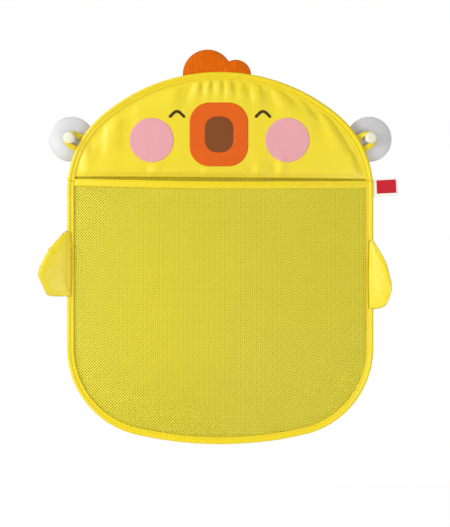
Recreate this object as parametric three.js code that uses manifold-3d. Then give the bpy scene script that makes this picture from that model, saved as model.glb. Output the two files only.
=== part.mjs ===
// Hanging mesh bag for bath toys with a chick's face, hooked by two tape loops on two suction cups.
// Millimetres. The origin lies on the wall, midway between the cups: +X right as seen from the
// room, +Y into the wall, +Z up. Left and right are the viewer's.
import * as THREE from 'three';
import { mergeVertices } from 'three/addons/utils/BufferGeometryUtils.js';
import Module from 'manifold-3d';

const wasm = await Module();
wasm.setup();

// The bag's outline, measured to the outside of its binding
const HALF_WIDTH = 178;
const SHOULDER_Z = -61;
const HEAD_RISE = 138;
const HEAD_CORNER_SHARE = 0.834;
const HIP_Z = -243.5;
const SEAT_DROP = 112;
const SEAT_CORNER_SHARE = 0.924;
const SEAM_Z = -49;

// Cloth, net and the gaps between pieces
const RIM_Y = -13;
const CLOTH = 0.5;
const LAYER_PITCH = 1.6;
const FIT_GAP = 0.3;
const FILM = 0.4;
const SHEET_INSET = 5.6;
const HEM_Z = -45;

// Binding tape, with a bead that holds the wire hoop and two lips that hold the sheets
const BEAD_RADIUS = 2.6;
const BEAD_BORE = 1.8;
const LIP_WALL = 0.6;
const BINDING_WIDTH = 8.4;
const HEAD_STEPS = 30;
const BODY_STEPS = 44;

// Spring wire hoop and the crimped ferrule that closes it
const WIRE_RADIUS = 1.1;
const FERRULE_Z = -215;
const FERRULE_LENGTH = 12;
const FERRULE_RADIUS = 1.55;
const FERRULE_BORE = 1.25;
const WIRE_END_GAP = 1;
const HOOP_STEPS = 80;

// Pocket, its taped mouth and the elastic inside the tape
const POCKET_BELLY = 24;
const MOUTH_DEPTH = 13;
const BELLY_SHARE = 0.35;
const MOUTH_Z = -50.4;
const MOUTH_SAG = 1.7;
const TAPE_HEIGHT = 7;
const TAPE_WALL = 0.4;
const ELASTIC_HEIGHT = 3.6;
const ELASTIC_THICKNESS = 0.5;
const MOUTH_STEPS = 24;

// Both nets, as whole cells round the edge and one gap in each cell inside it
const NET_COLUMNS = 14;
const POCKET_ROWS = 10;
const BACK_ROWS = 11;
const NET_MARGIN = 4;
const NET_GAP_SHARE = 0.8;

// Face, as films pressed on the panel
const FACE_X = -1.5;
const BEAK = { width: 68, height: 74, cornerShare: 0.34, z: 4 };
const MOUTH = { width: 33, height: 41.6, cornerShare: 0.42, z: 4 };
const CHEEK_RADIUS = 25.6;
const CHEEK_X = 79;
const CHEEK_Z = -2.5;
const EYE_X = 50;
const EYE_Z = 31;
const EYE_BEND = 4.2;
const EYE_HALF_SPAN = 8;
const EYE_STROKE = 3.1;

// Comb, as two round bumps sewn to the top of the rim
const BIG_BUMP = { x: -14.6, sink: 3, radius: 28.9 };
const SMALL_BUMP = { x: 18.1, sink: 3.7, radius: 17.8 };
const COMB_CENTRE_X = 2;
const COMB_CENTRE_RISE = 8;
const COMB_SEAM = 0.6;
const COMB_CROWN = 1.9;
const COMB_GAP = 0.9;
const COMB_SLOT_WIDTH = 26;

// Wings, sewn on the front of the binding
const WINGS = {
  left: { side: -1, topZ: -105.5, height: 78.9, width: 40.7, tipShare: 0.64 },
  right: { side: 1, topZ: -114.5, height: 84.7, width: 26.6, tipShare: 0.7 },
};
const WING_ROOT_INSET = 5;
const WING_STAND = 1.3;
const WING_UPPER_SHARES = [[0.24, 0.09], [0.48, 0.27], [0.69, 0.47], [0.86, 0.7], [0.98, 0.93]];
const WING_LOWER_SHARES = [[1, 0.02], [0.93, 0.28], [0.81, 0.73], [0.64, 0.94], [0.36, 1]];
const WING_SEAM = 0.7;
const WING_FRONT_CROWN = 5;
const WING_BACK_CROWN = 0.6;
const WING_CENTRE_SHARES = [0.45, 0.58];

// Stuffed covers: where the cavity starts, the cloth's thickness and the turning slot
const PAD_RINGS = 3;
const CAVITY_SHARE = 0.14;
const PADDING_SHARE = 0.2;
const COVER_WALL = 0.5;
const TURNING_SLOT = 0.6;
const TURNING_SLOT_SHARE = 0.5;

// Folded label in the right-hand seam
const LABEL_LENGTH = 26.9;
const LABEL_HEIGHT = 20;
const LABEL_TOP_Z = -47.8;
const LABEL_LAYER = 0.3;
const LABEL_GAP = 0.7;
const LABEL_FOLD_GAP = 0.4;

// Suction cups and the knobs pressed in them
const CUP_RADIUS = 26.5;
const CUP_LIP = 0.9;
const SEAL_WIDTH = 4.5;
const CAVITY_DEPTH = 2.6;
const DOME_HEIGHT = 5.5;
const BOSS_RADIUS = 5.4;
const BOSS_FRONT = 9.3;
const SOCKET_RADIUS = 2.5;
const SOCKET_FLOOR = 3.9;
const STUD_GAP = 0.08;
const FLANGE_RADIUS = 6;
const FLANGE_THICKNESS = 0.8;
const NECK_RADIUS = 4.8;
const NECK_LENGTH = 7;
const HEAD_RADIUS = 6.75;
const HEAD_LENGTH = 5.6;
const ROUND_STEPS = 24;

// Hanging loops of narrow tape
const LOOP_THICKNESS = 1;
const LOOP_WIDTH = 6;
const LOOP_REACH = 12.1;
const LOOP_ROOT_HALF = 7;
const LOOP_ROOT_GAP = 0.4;

// Places that follow from the sizes
const FRONT_Y = RIM_Y - LAYER_PITCH / 2;
const BACK_Y = RIM_Y + LAYER_PITCH / 2;
const PANEL_FACE_Y = FRONT_Y - CLOTH / 2;
const BEAD_FRONT_Y = RIM_Y - BEAD_RADIUS;
const SLOT_HALF = (LAYER_PITCH + CLOTH) / 2 + FIT_GAP;
const SHEET_HALF = HALF_WIDTH - SHEET_INSET;
const FREE_INSET = BINDING_WIDTH + FIT_GAP;
const FREE_HALF = HALF_WIDTH - FREE_INSET;
const HEAD = roundEnd(SHOULDER_Z, HEAD_RISE, HEAD_CORNER_SHARE);
const SEAT = roundEnd(HIP_Z, -SEAT_DROP, SEAT_CORNER_SHARE);
const CUP_X = HEAD.cornerX + Math.sqrt((HEAD.cornerRadius + LOOP_REACH) ** 2 - SHOULDER_Z ** 2);
const TOWARDS_ROOM = new THREE.Vector3(0, -1, 0);

// One end of the outline: a wide arc that turns into a tighter arc on each side and ends upright
function roundEnd(sideZ, rise, cornerShare) {
  const height = Math.abs(rise);
  const cornerRadius = height * cornerShare;
  const cornerX = HALF_WIDTH - cornerRadius;
  const spread = height - cornerRadius;
  const crownRadius = cornerRadius + (cornerX ** 2 + spread ** 2) / (2 * spread);
  return {
    sign: Math.sign(rise),
    sideZ,
    tipZ: sideZ + rise,
    crownRadius,
    crownZ: sideZ + rise - Math.sign(rise) * crownRadius,
    cornerRadius,
    cornerX,
    turn: Math.asin(cornerX / (crownRadius - cornerRadius)),
  };
}

// Height of the outline above or below x, moved in by the inset
function rimHeight(end, x, inset) {
  const crown = end.crownRadius - inset;
  const corner = end.cornerRadius - inset;
  const across = Math.abs(x);
  if (across < crown * Math.sin(end.turn)) {
    return end.crownZ + end.sign * Math.sqrt(crown ** 2 - across ** 2);
  }
  const rise = Math.sqrt(Math.max(0, corner ** 2 - (across - end.cornerX) ** 2));
  return end.sideZ + end.sign * rise;
}

function arc(x, z, radius, from, to) {
  return new THREE.EllipseCurve(x, z, radius, radius, from, to, true);
}

function joinCurves(curves) {
  const path = new THREE.CurvePath();
  curves.forEach((curve) => path.add(curve));
  return path;
}

// The rim's arcs over the head, from the left side to the right one
function headArcs(inset, fromZ) {
  const corner = HEAD.cornerRadius - inset;
  const low = Math.asin((fromZ - SHOULDER_Z) / corner);
  const left = Math.PI / 2 + HEAD.turn;
  const right = Math.PI / 2 - HEAD.turn;
  return [
    arc(-HEAD.cornerX, SHOULDER_Z, corner, Math.PI - low, left),
    arc(0, HEAD.crownZ, HEAD.crownRadius - inset, left, right),
    arc(HEAD.cornerX, SHOULDER_Z, corner, right, low),
  ];
}

function sideLine(side, inset, fromZ, toZ) {
  const x = side * (HALF_WIDTH - inset);
  return new THREE.LineCurve(new THREE.Vector2(x, fromZ), new THREE.Vector2(x, toZ));
}

// The rim's arcs round the bottom, from the right side to the left one
function seatArcs(inset) {
  const corner = SEAT.cornerRadius - inset;
  const right = SEAT.turn - Math.PI / 2;
  const left = -SEAT.turn - Math.PI / 2;
  return [
    arc(SEAT.cornerX, HIP_Z, corner, 0, right),
    arc(0, SEAT.crownZ, SEAT.crownRadius - inset, right, left),
    arc(-SEAT.cornerX, HIP_Z, corner, left, -Math.PI),
  ];
}

// The rim below the seam, from the right side round the bottom to the left side
function bodyCurves(inset, fromZ) {
  const corner = HEAD.cornerRadius - inset;
  const high = Math.asin((fromZ - SHOULDER_Z) / corner);
  return [
    arc(HEAD.cornerX, SHOULDER_Z, corner, high, 0),
    sideLine(1, inset, SHOULDER_Z, HIP_Z),
    ...seatArcs(inset),
    sideLine(-1, inset, HIP_Z, SHOULDER_Z),
    arc(-HEAD.cornerX, SHOULDER_Z, corner, Math.PI, Math.PI - high),
  ];
}

// A curve whose cross-sections keep their x towards the room
class SeamCurve extends THREE.Curve {
  constructor(pointAt) {
    super();
    this.pointAt = pointAt;
  }

  getPoint(t) {
    return this.pointAt(t);
  }

  computeFrenetFrames(segments) {
    const frames = { tangents: [], normals: [], binormals: [] };
    for (let i = 0; i <= segments; i += 1) {
      const tangent = this.getTangentAt(i / segments);
      const binormal = new THREE.Vector3().crossVectors(tangent, TOWARDS_ROOM).normalize();
      frames.tangents.push(tangent);
      frames.binormals.push(binormal);
      frames.normals.push(new THREE.Vector3().crossVectors(binormal, tangent));
    }
    return frames;
  }
}

function uprightCurve(curves, y) {
  const path = joinCurves(curves);
  return new SeamCurve((t) => {
    const spot = path.getPoint(t);
    return new THREE.Vector3(spot.x, y, spot.y);
  });
}

function sweep(section, curve, steps, curveSegments) {
  return new THREE.ExtrudeGeometry(section, { extrudePath: curve, steps, curveSegments });
}

// A flat piece: an outline in x and z, given its thickness from one depth towards the wall
function flatPiece(shape, frontY, thickness, curveSegments) {
  const settings = { depth: thickness, bevelEnabled: false, curveSegments };
  const geometry = new THREE.ExtrudeGeometry(shape, settings);
  geometry.rotateX(Math.PI / 2);
  geometry.translate(0, frontY + thickness, 0);
  return geometry;
}

function toSolid(geometry) {
  const bare = geometry.clone();
  bare.deleteAttribute('normal');
  bare.deleteAttribute('uv');
  const merged = mergeVertices(bare);
  const vertProperties = new Float32Array(merged.attributes.position.array);
  const triVerts = new Uint32Array(merged.index.array);
  return new wasm.Manifold(new wasm.Mesh({ numProp: 3, vertProperties, triVerts }));
}

function toGeometry(solid) {
  const mesh = solid.getMesh();
  const geometry = new THREE.BufferGeometry();
  geometry.setAttribute('position', new THREE.BufferAttribute(mesh.vertProperties, 3));
  geometry.setIndex(new THREE.BufferAttribute(mesh.triVerts, 1));
  geometry.computeVertexNormals();
  return geometry;
}

const MATERIALS = {
  binding: { color: '#f2d71c', roughness: 0.6, metalness: 0 },
  panel: { color: '#f1e04a', roughness: 0.45, metalness: 0 },
  net: { color: '#dccb2a', roughness: 0.7, metalness: 0 },
  orange: { color: '#e2621b', roughness: 0.8, metalness: 0 },
  brown: { color: '#7d4a22', roughness: 0.6, metalness: 0 },
  pink: { color: '#efa3ad', roughness: 0.6, metalness: 0 },
  ink: { color: '#33261a', roughness: 0.6, metalness: 0 },
  white: { color: '#f3f1ea', roughness: 0.4, metalness: 0 },
  clear: { color: '#dfe2e2', roughness: 0.25, metalness: 0 },
  steel: { color: '#b9bcc0', roughness: 0.35, metalness: 1 },
  padding: { color: '#f4f2ec', roughness: 0.95, metalness: 0 },
};

const organizer = new THREE.Group();

function addPiece(name, geometry, look) {
  const mesh = new THREE.Mesh(geometry, new THREE.MeshStandardMaterial(MATERIALS[look]));
  mesh.name = name;
  organizer.add(mesh);
  return mesh;
}

// Binding section: x towards the room, y into the bag, with the bead's bore at its origin
function bindingSection() {
  const lipHalf = SLOT_HALF + LIP_WALL;
  const lipEnd = BINDING_WIDTH - BEAD_RADIUS;
  const beadMeets = Math.acos(lipHalf / BEAD_RADIUS);
  const boreMeets = Math.acos(SLOT_HALF / BEAD_BORE);
  const shape = new THREE.Shape();
  shape.absarc(0, 0, BEAD_RADIUS, Math.PI - beadMeets, 2 * Math.PI + beadMeets, false);
  shape.lineTo(lipHalf, lipEnd);
  shape.lineTo(SLOT_HALF, lipEnd);
  shape.absarc(0, 0, BEAD_BORE, boreMeets, -Math.PI - boreMeets, true);
  shape.lineTo(-SLOT_HALF, lipEnd);
  shape.lineTo(-lipHalf, lipEnd);
  shape.closePath();
  return shape;
}

function addBindings() {
  const section = bindingSection();
  const arcSteps = 3;
  const overHead = uprightCurve(headArcs(BEAD_RADIUS, SEAM_Z + FIT_GAP / 2), RIM_Y);
  const roundBody = uprightCurve(bodyCurves(BEAD_RADIUS, SEAM_Z - FIT_GAP / 2), RIM_Y);
  addPiece('head_binding', sweep(section, overHead, HEAD_STEPS, arcSteps), 'binding');
  addPiece('body_binding', sweep(section, roundBody, BODY_STEPS, arcSteps), 'binding');
}

// The hoop starts and ends inside the ferrule, on the left side
function addHoop() {
  const section = new THREE.Shape();
  const wireSteps = 3;
  section.absarc(0, 0, WIRE_RADIUS, 0, 2 * Math.PI, false);
  const upperEnd = FERRULE_Z + WIRE_END_GAP / 2;
  const lowerEnd = FERRULE_Z - WIRE_END_GAP / 2;
  const route = uprightCurve([
    sideLine(-1, BEAD_RADIUS, upperEnd, SHOULDER_Z),
    ...headArcs(BEAD_RADIUS, SHOULDER_Z),
    sideLine(1, BEAD_RADIUS, SHOULDER_Z, HIP_Z),
    ...seatArcs(BEAD_RADIUS),
    sideLine(-1, BEAD_RADIUS, HIP_Z, lowerEnd),
  ], RIM_Y);
  addPiece('frame_hoop', sweep(section, route, HOOP_STEPS, wireSteps), 'steel');
}

function addFerrule() {
  const half = FERRULE_LENGTH / 2;
  const ferruleSteps = 12;
  const profile = [
    new THREE.Vector2(FERRULE_BORE, -half),
    new THREE.Vector2(FERRULE_RADIUS, -half),
    new THREE.Vector2(FERRULE_RADIUS, half),
    new THREE.Vector2(FERRULE_BORE, half),
    new THREE.Vector2(FERRULE_BORE, -half),
  ];
  const ferrule = addPiece('hoop_ferrule', new THREE.LatheGeometry(profile, ferruleSteps), 'steel');
  ferrule.rotation.x = Math.PI / 2;
  ferrule.position.set(BEAD_RADIUS - HALF_WIDTH, RIM_Y, FERRULE_Z);
}

function addFacePanel() {
  const edge = joinCurves(headArcs(SHEET_INSET, HEM_Z)).getSpacedPoints(HEAD_STEPS);
  addPiece('face_panel', flatPiece(new THREE.Shape(edge), PANEL_FACE_Y, CLOTH), 'panel');
}

// A thin sheet: its middle surface's corners and triangles, closed by walls along its edges
function thinSheet(corners, faces, edges) {
  const half = new THREE.Vector3(0, CLOTH / 2, 0);
  const front = corners.map((spot) => spot.clone().sub(half));
  const back = corners.map((spot) => spot.clone().add(half));
  const count = corners.length;
  const index = [];
  faces.forEach(([a, b, c]) => index.push(a, b, c, a + count, c + count, b + count));
  edges.forEach(([a, b]) => index.push(b, a, a + count, b, a + count, b + count));
  const geometry = new THREE.BufferGeometry().setFromPoints([...front, ...back]);
  geometry.setIndex(index);
  geometry.computeVertexNormals();
  return geometry;
}

// One net cell with a diamond gap: a frame of triangles round four new corners
function cutGap(cell, corners, faces, edges) {
  const first = corners.length;
  const spots = cell.map((corner) => corners[corner]);
  const middle = new THREE.Vector3();
  spots.forEach((spot) => middle.addScaledVector(spot, 1 / spots.length));
  cell.forEach((corner, k) => {
    const next = (k + 1) % cell.length;
    const side = spots[k].clone().lerp(spots[next], 1 / 2);
    corners.push(middle.clone().lerp(side, NET_GAP_SHARE));
    faces.push([corner, cell[next], first + k]);
    faces.push([cell[next], first + next, first + k]);
    edges.push([first + next, first + k]);
  });
}

// A net of cells, whole along its edges and with one gap each inside them
function netting(rows, place) {
  const corners = [];
  const faces = [];
  const edges = [];
  const at = (i, j) => j * (NET_COLUMNS + 1) + i;
  for (let j = 0; j <= rows; j += 1) {
    for (let i = 0; i <= NET_COLUMNS; i += 1) {
      corners.push(place(i, j));
    }
  }
  for (let j = 0; j < rows; j += 1) {
    for (let i = 0; i < NET_COLUMNS; i += 1) {
      const cell = [at(i, j), at(i + 1, j), at(i + 1, j + 1), at(i, j + 1)];
      if (i === 0 || j === 0 || i === NET_COLUMNS - 1 || j === rows - 1) {
        faces.push([cell[0], cell[1], cell[2]], [cell[0], cell[2], cell[3]]);
      } else {
        cutGap(cell, corners, faces, edges);
      }
    }
  }
  for (let i = 0; i < NET_COLUMNS; i += 1) {
    edges.push([at(i, 0), at(i + 1, 0)], [at(i + 1, rows), at(i, rows)]);
  }
  for (let j = 0; j < rows; j += 1) {
    edges.push([at(0, j + 1), at(0, j)], [at(NET_COLUMNS, j), at(NET_COLUMNS, j + 1)]);
  }
  return thinSheet(corners, faces, edges);
}

// Columns crowd towards the sides, so that the net's edge keeps to the rim's arcs
function columnX(i) {
  if (i === 0 || i === NET_COLUMNS) {
    return Math.sign(i - 1) * SHEET_HALF;
  }
  const share = (i - 1) / (NET_COLUMNS - 2);
  return FREE_HALF * Math.sin((share - 1 / 2) * Math.PI);
}

// Row heights: the edges, held by the binding, and evenly between them the free rows
function rowHeights(rows, x, edgeTop, freeTop) {
  const freeLow = rimHeight(SEAT, x, FREE_INSET) + NET_MARGIN;
  const free = Array.from({ length: rows - 1 }, (_, k) => freeLow + (freeTop - freeLow) * k / (rows - 2));
  return [rimHeight(SEAT, x, SHEET_INSET), ...free, edgeTop];
}

// How far a taut cloth stands out across the bag, from 0 at both sides to 1 in the middle
function across(x) {
  return Math.max(0, 1 - (x / FREE_HALF) ** 2);
}

function mouthHeight(x) {
  return MOUTH_Z - MOUTH_SAG * across(x);
}

// How far the pocket stands out up the bag: from 0 at the bottom, through the belly, to the mouth
function bellyShare(v) {
  if (v < BELLY_SHARE) {
    return Math.sin((v / BELLY_SHARE) * Math.PI / 2);
  }
  const above = THREE.MathUtils.smoothstep(v, BELLY_SHARE, 1);
  return 1 - above * (1 - MOUTH_DEPTH / POCKET_BELLY);
}

function addNets() {
  const underElastic = TAPE_WALL + ELASTIC_HEIGHT + 2 * FIT_GAP;
  const pocket = netting(POCKET_ROWS, (i, j) => {
    const x = columnX(i);
    const top = mouthHeight(x);
    const z = rowHeights(POCKET_ROWS, x, top - underElastic, top - TAPE_HEIGHT)[j];
    const share = Math.min(1, Math.max(0, (j - 1) / (POCKET_ROWS - 2)));
    return new THREE.Vector3(x, FRONT_Y - POCKET_BELLY * across(x) * bellyShare(share), z);
  });
  const back = netting(BACK_ROWS, (i, j) => {
    const x = columnX(i);
    const free = rimHeight(HEAD, x, FREE_INSET) - NET_MARGIN;
    const z = rowHeights(BACK_ROWS, x, rimHeight(HEAD, x, SHEET_INSET), free)[j];
    return new THREE.Vector3(x, BACK_Y, z);
  });
  addPiece('pocket_mesh', pocket, 'net');
  addPiece('back_mesh', back, 'net');
}

// The mouth's line between the binding's lips, at one level below the tape's top edge
function mouthCurve(below) {
  return new SeamCurve((t) => {
    const x = (FREE_HALF - 2 * FIT_GAP) * (2 * t - 1);
    return new THREE.Vector3(x, FRONT_Y - MOUTH_DEPTH * across(x), mouthHeight(x) - below);
  });
}

// The tape folds over the elastic and the net's top edge. Sections: x to the room, y down.
function addMouth() {
  const inner = ELASTIC_THICKNESS / 2 + FIT_GAP;
  const outer = inner + TAPE_WALL;
  const fold = new THREE.Shape([
    new THREE.Vector2(-outer, 0),
    new THREE.Vector2(outer, 0),
    new THREE.Vector2(outer, TAPE_HEIGHT),
    new THREE.Vector2(inner, TAPE_HEIGHT),
    new THREE.Vector2(inner, TAPE_WALL),
    new THREE.Vector2(-inner, TAPE_WALL),
    new THREE.Vector2(-inner, TAPE_HEIGHT),
    new THREE.Vector2(-outer, TAPE_HEIGHT),
  ]);
  const half = ELASTIC_THICKNESS / 2;
  const band = new THREE.Shape([
    new THREE.Vector2(-half, 0),
    new THREE.Vector2(half, 0),
    new THREE.Vector2(half, ELASTIC_HEIGHT),
    new THREE.Vector2(-half, ELASTIC_HEIGHT),
  ]);
  addPiece('mouth_tape', sweep(fold, mouthCurve(0), MOUTH_STEPS), 'binding');
  const elasticLine = mouthCurve(TAPE_WALL + FIT_GAP);
  addPiece('mouth_elastic', sweep(band, elasticLine, MOUTH_STEPS), 'white');
}

function roundedRectangle({ width, height, cornerShare, z }) {
  const corner = cornerShare * Math.min(width, height);
  const x = FACE_X - width / 2;
  const low = z - height / 2;
  const shape = new THREE.Shape();
  shape.moveTo(x + corner, low);
  shape.lineTo(x + width - corner, low);
  shape.absarc(x + width - corner, low + corner, corner, -Math.PI / 2, 0, false);
  shape.absarc(x + width - corner, low + height - corner, corner, 0, Math.PI / 2, false);
  shape.absarc(x + corner, low + height - corner, corner, Math.PI / 2, Math.PI, false);
  shape.absarc(x + corner, low + corner, corner, Math.PI, 3 * Math.PI / 2, false);
  return shape;
}

// A smiling eye: two straight legs that meet in a round bend
function eyeStroke(x, y) {
  const legAngle = Math.PI / 4;
  const bendHalf = EYE_BEND * Math.sin(legAngle);
  const bendDrop = EYE_BEND * (1 - Math.cos(legAngle));
  const legDrop = (EYE_HALF_SPAN - bendHalf) * Math.tan(legAngle);
  const end = (side) => new THREE.Vector2(x + side * EYE_HALF_SPAN, EYE_Z - bendDrop - legDrop);
  const knee = (side) => new THREE.Vector2(x + side * bendHalf, EYE_Z - bendDrop);
  const bend = arc(x, EYE_Z - EYE_BEND, EYE_BEND, Math.PI / 2 + legAngle, Math.PI / 2 - legAngle);
  const curve = uprightCurve([
    new THREE.LineCurve(end(-1), knee(-1)),
    bend,
    new THREE.LineCurve(knee(1), end(1)),
  ], y);
  const half = EYE_STROKE / 2;
  const section = new THREE.Shape([
    new THREE.Vector2(-FILM / 2, -half),
    new THREE.Vector2(FILM / 2, -half),
    new THREE.Vector2(FILM / 2, half),
    new THREE.Vector2(-FILM / 2, half),
  ]);
  const eyeSteps = 12;
  return sweep(section, curve, eyeSteps);
}

function addFace() {
  const filmY = PANEL_FACE_Y - FIT_GAP - FILM;
  const mouthY = filmY - FIT_GAP - FILM;
  const cornerSteps = 4;
  const cheekSteps = 14;
  addPiece('beak_patch', flatPiece(roundedRectangle(BEAK), filmY, FILM, cornerSteps), 'orange');
  addPiece('mouth_patch', flatPiece(roundedRectangle(MOUTH), mouthY, FILM, cornerSteps), 'brown');
  for (const [name, side] of [['left', -1], ['right', 1]]) {
    const cheek = new THREE.Shape();
    cheek.absarc(FACE_X + side * CHEEK_X, CHEEK_Z, CHEEK_RADIUS, 0, 2 * Math.PI, false);
    addPiece(`${name}_cheek_patch`, flatPiece(cheek, filmY, FILM, cheekSteps), 'pink');
    addPiece(`${name}_eye_patch`, eyeStroke(FACE_X + side * EYE_X, filmY + FILM / 2), 'ink');
  }
}

// A stuffed form on a flat outline, drawn in from its seam. The share runs from the seam to the
// centre, and the wall is what is taken off inside the cover's skin. Forms in the same outline
// turn at the same rings, so that their walls stay parallel.
function stuffedForm(outline, centre, y, crowns, startShare, wall) {
  const firstTurn = 1 / PAD_RINGS;
  const swell = (share) => Math.sqrt(1 - (1 - share) ** 2);
  const dome = (share) => (share < firstTurn ? swell(firstTurn) * share / firstTurn : swell(share));
  const spots = [];
  const index = [];
  const count = outline.length;
  const place = (corner, share, face) => {
    const at = corner.clone().lerp(centre, share);
    const rise = crowns.seam - wall + (face < 0 ? crowns.front : crowns.back) * dome(share);
    return new THREE.Vector3(at.x, y + face * rise, at.y);
  };
  for (const face of [-1, 1]) {
    const first = spots.length;
    for (let ring = 0; ring < PAD_RINGS; ring += 1) {
      const share = ring === 0 ? startShare : ring / PAD_RINGS;
      outline.forEach((corner) => spots.push(place(corner, share, face)));
    }
    const tip = spots.length;
    spots.push(place(centre, 1, face));
    const addFacet = (a, b, c) => (face < 0 ? index.push(a, b, c) : index.push(a, c, b));
    for (let k = 0; k < count; k += 1) {
      const next = (k + 1) % count;
      for (let ring = 0; ring < PAD_RINGS - 1; ring += 1) {
        const outerRing = first + ring * count;
        const innerRing = outerRing + count;
        addFacet(outerRing + k, outerRing + next, innerRing + next);
        addFacet(outerRing + k, innerRing + next, innerRing + k);
      }
      const last = first + (PAD_RINGS - 1) * count;
      addFacet(last + k, last + next, tip);
    }
  }
  const back = spots.length / 2;
  for (let k = 0; k < count; k += 1) {
    const next = (k + 1) % count;
    index.push(next, k, k + back, next, k + back, next + back);
  }
  const geometry = new THREE.BufferGeometry().setFromPoints(spots);
  geometry.setIndex(index);
  geometry.computeVertexNormals();
  return geometry;
}

// A sewn cover with its turning slot, and the padding inside it
function addStuffed(name, outline, centre, y, crowns, slot, look) {
  const skin = toSolid(stuffedForm(outline, centre, y, crowns, 0, 0));
  const cavity = toSolid(stuffedForm(outline, centre, y, crowns, CAVITY_SHARE, COVER_WALL));
  const cover = skin.subtract(cavity).subtract(toSolid(slot));
  addPiece(`${name}_cover`, toGeometry(cover), look);
  const padWall = COVER_WALL + FIT_GAP;
  const padding = stuffedForm(outline, centre, y, crowns, PADDING_SHARE, padWall);
  addPiece(`${name}_padding`, padding, 'padding');
}

// The comb's outline: along the rim, then over the small bump and the big one
function combOutline() {
  const placed = ({ x, sink, radius }) => ({ x, z: HEAD.tipZ - sink, radius });
  const [big, small] = [BIG_BUMP, SMALL_BUMP].map(placed);
  const baseRadius = HEAD.crownRadius + COMB_GAP;
  const gap = big.x - small.x;
  const spread = Math.hypot(gap, big.z - small.z);
  const reach = (small.radius ** 2 - big.radius ** 2 + spread ** 2) / (2 * spread);
  const lean = Math.atan2(big.z - small.z, gap);
  const notchSmall = lean - Math.acos(reach / small.radius);
  const notch = new THREE.Vector2(small.x, small.z)
    .add(new THREE.Vector2(Math.cos(notchSmall), Math.sin(notchSmall)).multiplyScalar(small.radius));
  const notchBig = Math.atan2(notch.y - big.z, notch.x - big.x);
  const bumpSteps = 6;
  const bump = ({ x, z, radius }, from, to) => {
    const foot = (angle) => new THREE.Vector2(x + radius * Math.cos(angle), z + radius * Math.sin(angle));
    const angles = Array.from({ length: bumpSteps }, (_, k) => from + (to - from) * k / bumpSteps);
    return angles.map(foot);
  };
  const top = [...bump(small, 0, notchSmall), ...bump(big, notchBig, Math.PI)];
  const left = big.x - big.radius;
  const right = small.x + small.radius;
  const baseSteps = 8;
  const base = Array.from({ length: baseSteps + 1 }, (_, k) => {
    const x = left + (right - left) * k / baseSteps;
    return new THREE.Vector2(x, HEAD.crownZ + Math.sqrt(baseRadius ** 2 - x ** 2));
  });
  const aboveBase = (spot) => spot.y > HEAD.crownZ + Math.sqrt(baseRadius ** 2 - spot.x ** 2) + COMB_GAP;
  return [...base, ...top.filter(aboveBase)];
}

function addComb() {
  const crowns = { seam: COMB_SEAM, front: COMB_CROWN, back: COMB_CROWN };
  const centre = new THREE.Vector2(COMB_CENTRE_X, HEAD.tipZ + COMB_CENTRE_RISE);
  const slot = new THREE.BoxGeometry(COMB_SLOT_WIDTH, TURNING_SLOT, COMB_CENTRE_RISE);
  slot.translate(COMB_CENTRE_X, RIM_Y, HEAD.tipZ + COMB_CENTRE_RISE / 2);
  addStuffed('comb', combOutline(), centre, RIM_Y, crowns, slot, 'orange');
}

function wingOutline({ side, topZ, height, width, tipShare }) {
  const rootX = side * (HALF_WIDTH - WING_ROOT_INSET);
  const spot = ([out, down]) => new THREE.Vector2(rootX + side * width * out, topZ - height * down);
  const upper = WING_UPPER_SHARES.map(([out, down]) => spot([out, down * tipShare]));
  const lower = WING_LOWER_SHARES.map(([out, down]) => spot([out, tipShare + down * (1 - tipShare)]));
  const rootSteps = 4;
  const root = Array.from({ length: rootSteps + 1 }, (_, k) => spot([0, 1 - k / rootSteps]));
  const outline = [...root, ...upper, ...lower];
  return side < 0 ? outline.reverse() : outline;
}

function addWing(name, wing) {
  const { side, topZ, height, width } = wing;
  const crowns = { seam: WING_SEAM, front: WING_FRONT_CROWN, back: WING_BACK_CROWN };
  const y = BEAD_FRONT_Y - WING_STAND;
  const rootX = side * (HALF_WIDTH - WING_ROOT_INSET);
  const [outShare, downShare] = WING_CENTRE_SHARES;
  const centre = new THREE.Vector2(rootX + side * width * outShare, topZ - height * downShare);
  const reach = width * outShare;
  const slot = new THREE.BoxGeometry(reach, TURNING_SLOT, height * TURNING_SLOT_SHARE);
  slot.translate(rootX, y, centre.y);
  addStuffed(name, wingOutline(wing).reverse(), centre, y, crowns, slot, 'panel');
}

// The label is one tape folded in two, its fold away from the bag
function addLabel() {
  const root = HALF_WIDTH + LABEL_GAP;
  const tip = root + LABEL_LENGTH;
  const inner = LABEL_FOLD_GAP / 2;
  const outer = inner + LABEL_LAYER;
  const fold = new THREE.Shape([
    new THREE.Vector2(root, -outer),
    new THREE.Vector2(tip, -outer),
    new THREE.Vector2(tip, outer),
    new THREE.Vector2(root, outer),
    new THREE.Vector2(root, inner),
    new THREE.Vector2(tip - LABEL_LAYER, inner),
    new THREE.Vector2(tip - LABEL_LAYER, -inner),
    new THREE.Vector2(root, -inner),
  ]);
  const geometry = new THREE.ExtrudeGeometry(fold, { depth: LABEL_HEIGHT, bevelEnabled: false });
  const label = addPiece('label', geometry, 'white');
  label.position.set(0, RIM_Y, LABEL_TOP_Z - LABEL_HEIGHT);
}

// Profiles run outwards from the axis. Their heights are distances from the wall to the room.
function turned(profile) {
  const points = profile.map(([radius, fromWall]) => new THREE.Vector2(radius, -fromWall));
  return new THREE.LatheGeometry(points, ROUND_STEPS);
}

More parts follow.
